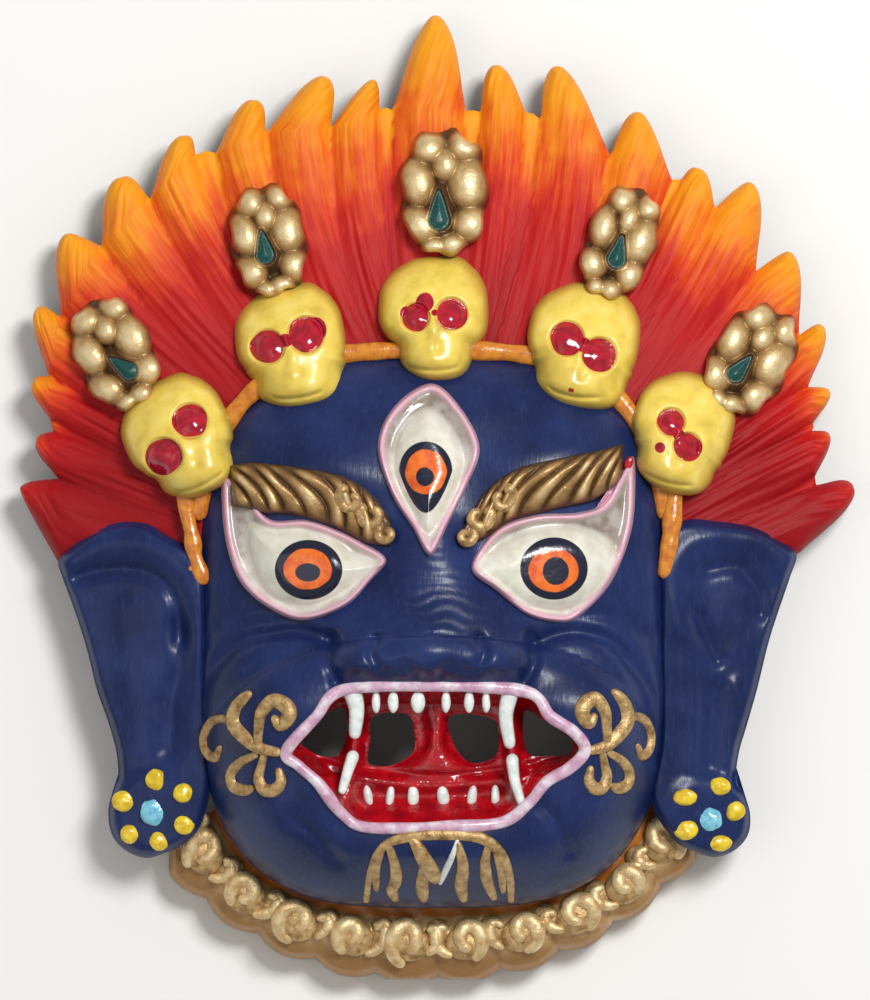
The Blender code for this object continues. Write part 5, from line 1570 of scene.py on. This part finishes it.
BEARD = (
    ((-22.2, -125.4), (-20.7, -115.8), (-17.3, -109), (-11.7, -106.2), (-2.3, -104.9), (10.1, -105.2),
     (16.3, -107.4), (20.4, -112.1), (22.5, -118.9), (22.8, -125.4)),
    ((-16.9, -109), (-19.1, -115.2), (-19, -122)),
    ((-15.4, -108), (-13.5, -113.3), (-12.9, -118.3), (-14.1, -122), (-12.9, -125.1)),
    ((-7.6, -106.5), (-4.8, -111.2), (-1.7, -116.4), (-0.5, -119)),
    ((-3.8, -112.5), (-4.8, -120), (-4.2, -125.1)),
    ((6.4, -108), (7.9, -114.3), (7.3, -120.5), (8.2, -125.1)),
    ((15.7, -108.3), (14.8, -113.3), (15.4, -118.9), (17.6, -124.5)),
    ((17.6, -109.6), (19.7, -115.8), (20.4, -122.6)),
)
BEARD_THICK = (1.8, 1.4, 2.0, 2.8, 2.1, 2.1, 1.9, 1.4)
WHITE_LOCK = ((6.2, -106.6), (4.5, -111.6), (2.0, -117.0), (0.8, -120.0))
print(2 * len(SCROLL), "strands in the scrolls,", len(BEARD), "in the beard")

# %% [markdown]
# A strand swells in the middle and thins to its ends, as a roll of pulp does between the
# fingers. It takes its height from the face below it.

# %% Whiskers
def hair(points, thick):
    """Return the line and thickness of a strand that lies on the face."""
    line = through(points, 40, False)
    swell = 0.55 + 0.45 * np.sin(math.pi * np.linspace(0.0, 1.0, 40) ** 1.3)
    return np.column_stack([line, skin(line[:, 0], line[:, 1]) + 0.3]), thick * swell


whiskers = [hair([(rx + side * x, ry + y) for x, y in points], thick)
            for rx, ry, side in SCROLL_ROOTS for points, thick in zip(SCROLL, SCROLL_THICK)]
dress(rolls("whisker_scrolls", whiskers, GOLD, 0.6), GOLD)
dress(rolls("chin_beard", [hair(*strand) for strand in zip(BEARD, BEARD_THICK)], GOLD, 0.6), GOLD)
dress(rolls("white_lock", [hair(WHITE_LOCK, 1.1)], WHITE), WHITE)

# %% [markdown]
# ## Collar
# A roll of curls frames the jaw. Ten lobes bulge along its outer edge; on each lies one large
# curl and a small one beside it, laid down as rolls. An orange strip is painted where the
# collar meets the chin.

# %% Collar surface
COLLAR_START = 219.5
COLLAR_END = 322.5
COLLAR_LENGTH = 178.0
LOBE_COUNT = 10


def collar_surface(t, v):
    """Return points of the collar: t runs along it and v from the chin to its outer edge."""
    angle = np.radians(COLLAR_START + (COLLAR_END - COLLAR_START) * t)
    ix, iy = head_edge(angle, 2.0)
    c, s = np.cos(angle), np.sin(angle)
    bulge = np.abs(np.sin(math.pi * LOBE_COUNT * t)) ** 0.8
    ends = smooth_step(0.0, 0.04, t) * smooth_step(0.0, 0.04, 1.0 - t)
    outer = 107.4 - 2.0 * c + 3.0 * bulge - 3.0 * (1.0 - ends)
    width = outer - np.hypot(ix - HEAD[0], iy - HEAD[1])
    x, y = ix + c * width * v, np.maximum(-149.8, iy + s * width * v)
    z = 17.0 + 2.6 * smooth_step(0.10, 0.42, v) - 4.0 * smooth_step(0.55, 0.95, v)
    z = z + 1.6 * (bulge - 0.5) * smooth_step(0.2, 0.5, v) - 3.6 * smooth_step(0.86, 1.0, v) ** 2
    return x, y, z, width * v


print("collar from", COLLAR_START, "to", COLLAR_END, "degrees with", LOBE_COUNT, "lobes")

# %% [markdown]
# The body is the strip itself with an upright outer wall and a flat underside, on which the
# mask rests.

# %% Collar body

def collar_body():
    """Make the collar's body; its field 'strip' is the distance in mm from the chin."""
    steps, rows = 420, 34
    t = (np.arange(steps) / (steps - 1))[:, None]
    v = (np.arange(rows) / (rows - 1))[None, :]
    x, y, z, across = collar_surface(t, v)
    z = z + 0.35 * ripple(x, y, 4.0, 3.0)
    foot = np.full(steps, 0.25)
    points = [flat_list(x, y, z), np.column_stack([x[:, -1], y[:, -1], foot]),
              np.column_stack([x[:, 0], y[:, 0], foot])]
    total = steps * rows
    faces = grid_faces(steps, rows)
    for i in range(steps - 1):
        outer, inner, edge = total + i, total + steps + i, i * rows + rows - 1
        faces += [(edge, outer, outer + 1, edge + rows), (outer, inner, inner + 1, outer + 1),
                  (inner, i * rows, (i + 1) * rows, inner + 1)]
    for i in (0, steps - 1):
        faces.append([i * rows + j for j in range(rows)] + [total + i, total + steps + i])
    strip = np.concatenate([across.ravel(), np.full(2 * steps, 9.0)])
    return new_mesh("collar", np.vstack(points), faces, {"strip": strip})


print("helper:", collar_body.__name__)

# %% [markdown]
# Curls and bosses lie on the same surface, so they follow its lobes. Each curl is a roll that
# winds inwards, with a round boss under it.

# %% Curls and bosses
def collar_curl(t, v, size, start, turns, thick):
    """Return the line and thickness of a curl that lies on the collar."""
    s = np.linspace(0.0, 1.0, 30)
    angle = np.radians(start) + math.tau * turns * s
    reach = size * (1.0 - 0.55 * s)
    x, y, z, _ = collar_surface(t + reach * np.cos(angle) / COLLAR_LENGTH, v + reach * np.sin(angle) / 20.0)
    return np.column_stack([x, y, z + 1.4]), thick * (0.7 + 0.4 * np.sin(math.pi * s ** 0.8))


def collar_curls():
    """Return the lines of all curls: a large and a small one on each lobe, by turns mirrored."""
    lines = []
    for k in range(LOBE_COUNT):
        hand = 1.0 if k < LOBE_COUNT / 2 else -1.0
        middle = (k + 0.5) / LOBE_COUNT
        reach, tilt = 1.0 + 0.15 * math.sin(3.7 * k), 14.0 * math.sin(2.3 * k)
        start = (100 if hand > 0 else 80) + tilt
        lines.append(collar_curl(middle - 0.006 * hand, 0.48, 4.9 * reach, start, 0.85 * hand, 2.5))
        lines.append(collar_curl(middle + 0.036 * hand, 0.44, 4.4 / reach, 90 + tilt, -0.5 * hand, 1.8))
        lines.append(collar_curl(middle - 0.048 * hand, 0.40, 2.4, 200 - tilt, 0.4 * hand, 1.5))
    return lines


def collar_bosses():
    """Return the round bosses under the curls, as rows for drops."""
    rows = []
    for k in range(2 * LOBE_COUNT - 1):
        t, large = (k + 1) / (2 * LOBE_COUNT), k % 2 == 0
        x, y, z, _ = collar_surface(np.array([[t]]), np.array([[0.50 if large else 0.44]]))
        half_w, half_h = (6.4, 5.6) if large else (4.4, 4.8)
        turn = COLLAR_START + (COLLAR_END - COLLAR_START) * t + 90.0
        rows.append((x.item(), y.item(), z.item() - 0.6, half_w, half_h, 2.6 if large else 2.2, turn))
    return rows


print("helpers:", collar_curl.__name__, collar_curls.__name__, collar_bosses.__name__)

# %% [markdown]
# ### Collar gold
# The same bronze powder in varnish, darker brown towards the outer edge as a painted shade where
# it slopes down, with a strip of orange-brown enamel along the chin. The curls get a lighter mix
# as a painted highlight, so they stand out.

# %% Collar gold
def collar_gold():
    """Return bronze-powder paint with painted shade towards the outer edge and an orange-brown strip along
    the chin.
    """
    material, tree, shader, place = new_paint("bronze powder paint with orange edge", 0.34, 0.1)
    base = ramp(tree, mottle(tree, place, 5.0, 4.0), ((0.3, "#A87C4A"), (0.68, "#D9B680")))
    # Painted shade: beyond the middle, where the collar slopes down, the gold is a plain darker brown
    base = blend(tree, above(tree, field(tree, "strip"), 16.5, 3.0), base, colour("#A47A48"))
    wobble = calc(tree, "MULTIPLY_ADD", mottle(tree, place, 6.0, 2.0), 3.0, -1.5)
    share = above(tree, calc(tree, "ADD", field(tree, "strip"), wobble), 4.6, 0.8)
    brown = ramp(tree, mottle(tree, place, 16.0, 2.0), ((0.35, "#9C541C"), (0.65, "#D07A26")))
    tree.links.new(calc(tree, "MULTIPLY", share, 0.4), shader.inputs["Metallic"])
    cover(tree, shader, blend(tree, share, brown, base), mottle(tree, place, 0.9, 4.0), 0.3, 0.6)
    return material


# A lighter gold for the curls: a painted highlight on the raised curls
CURL_HIGHLIGHT_GOLD = gold_paint("bronze powder paint with painted highlight", "#C29A60", "#F0D8A6", 3.0)
collar = collar_body()
back_is_bare(collar, lambda x, y: 1.0)
dress(collar, collar_gold(), PULP)
dress(drops("collar_bosses", collar_bosses(), GOLD, 26, 0.5), GOLD)
dress(rolls("collar_curls", collar_curls(), CURL_HIGHLIGHT_GOLD, 0.9), CURL_HIGHLIGHT_GOLD)

# %% [markdown]
# ## Band
# A narrow orange ribbon ties the crown on. It follows the top of the head behind the skulls
# and its two ends hang loose beside the eyes; the left one is smeared.

# %% Band
BAND_ENDS = (
    (((-78.4, 4), (-78, -4), (-76.4, -12), (-75.4, -18), (-73.2, -24.6)), 2.4),
    (((74, 5), (73.2, -4), (72.4, -12), (71.4, -18), (70.6, -23)), 2.8),
    (((-75, -22), (-77.4, -22.6), (-79.4, -22.8)), 1.5),
)


def band(paint):
    """Make the ribbon and its loose ends."""
    angle = np.radians(np.linspace(27.0, 153.0, 150))
    x, y = head_edge(angle, -0.6)
    lines = [(np.column_stack([x, y, np.full(150, 33.4)]), 2.9 + 0.4 * ripple(x, y, 9.0, 1.0))]
    for points, radius in BAND_ENDS:
        path = through(points, 24, False)
        z = np.maximum(skin(path[:, 0], path[:, 1]), plate(path[:, 0], path[:, 1]) + 3.6) + 0.6
        swell = 1.0 + 0.2 * ripple(path[:, 1], path[:, 0], 5.0, radius)
        lines.append((np.column_stack([path, z]), radius * swell))
    return rolls("band", lines, paint, 0.6)


ORANGE = drop_enamel("orange gloss enamel", "#D98A26", "#C26C1C")
dress(band(ORANGE), ORANGE)

# %% [markdown]
# ## Floor
# The mask lies on its back rim on a plain pale floor, as a loose mask does. The floor is only
# part of the picture and no piece of the mask.

# %% Floor
floor_mesh = bpy.data.meshes.new("floor")
floor_mesh.from_pydata([(-3, -3, 0), (3, -3, 0), (3, 3, 0), (-3, 3, 0)], [], [(0, 1, 2, 3)])
ground = bpy.data.materials.new("pale studio floor")
ground.use_nodes = True
ground.node_tree.nodes["Principled BSDF"].inputs["Base Color"].default_value = colour("#F2F1EE")
ground.node_tree.nodes["Principled BSDF"].inputs["Roughness"].default_value = 0.9
floor_mesh.materials.append(ground)
floor = put("floor", floor_mesh)
print("floor 6 m wide")

# %% [markdown]
# ## Light
# One soft lamp from the upper right throws the shadow to the lower left, as in a plain studio
# picture. A weak one from the left and an even grey sky keep the shadows open.

# %% Light
def softbox(name, place, aim, width, height, power):
    """Add a soft rectangular lamp that looks at a point."""
    data = bpy.data.lights.new(name, "AREA")
    data.shape = "RECTANGLE"
    data.size = width
    data.size_y = height
    data.energy = power
    lamp = put(name, data)
    lamp.location = place
    lamp.rotation_euler = (Vector(aim) - Vector(place)).to_track_quat("-Z", "Y").to_euler()
    print(name, "lamp of", power, "W")


softbox("key", (0.52, 0.56, 1.45), (0, 0, 0.02), 0.45, 0.45, 20.0)
softbox("fill", (-1.0, -0.3, 1.6), (0, 0, 0.02), 1.2, 1.2, 3.0)
world = bpy.data.worlds.new("studio")
world.use_nodes = True
world.node_tree.nodes["Background"].inputs["Color"].default_value = (1.0, 1.0, 1.0, 1.0)
world.node_tree.nodes["Background"].inputs["Strength"].default_value = 0.38
bpy.context.scene.world = world
bpy.context.scene.view_settings.view_transform = "Standard"

# %% [markdown]
# ## Camera
# It looks straight down from three metres with a long lens, so the face is seen square on.

# %% Camera
SEEN_HEIGHT = 310.9
camera_data = bpy.data.cameras.new("camera")
camera = put("camera", camera_data)
camera.location = (AIM[0] * 0.001, AIM[1] * 0.001, VIEW_DISTANCE * 0.001)
camera_data.sensor_fit = "VERTICAL"
camera_data.sensor_height = 24.0
camera_data.lens = camera_data.sensor_height * VIEW_DISTANCE / SEEN_HEIGHT
camera_data.clip_end = 20.0
bpy.context.scene.camera = camera
print("pieces", len(done), "triangles", sum(count for _, count in done))

# %% [markdown]
# ## Finish

# %% Finish
print("finished")
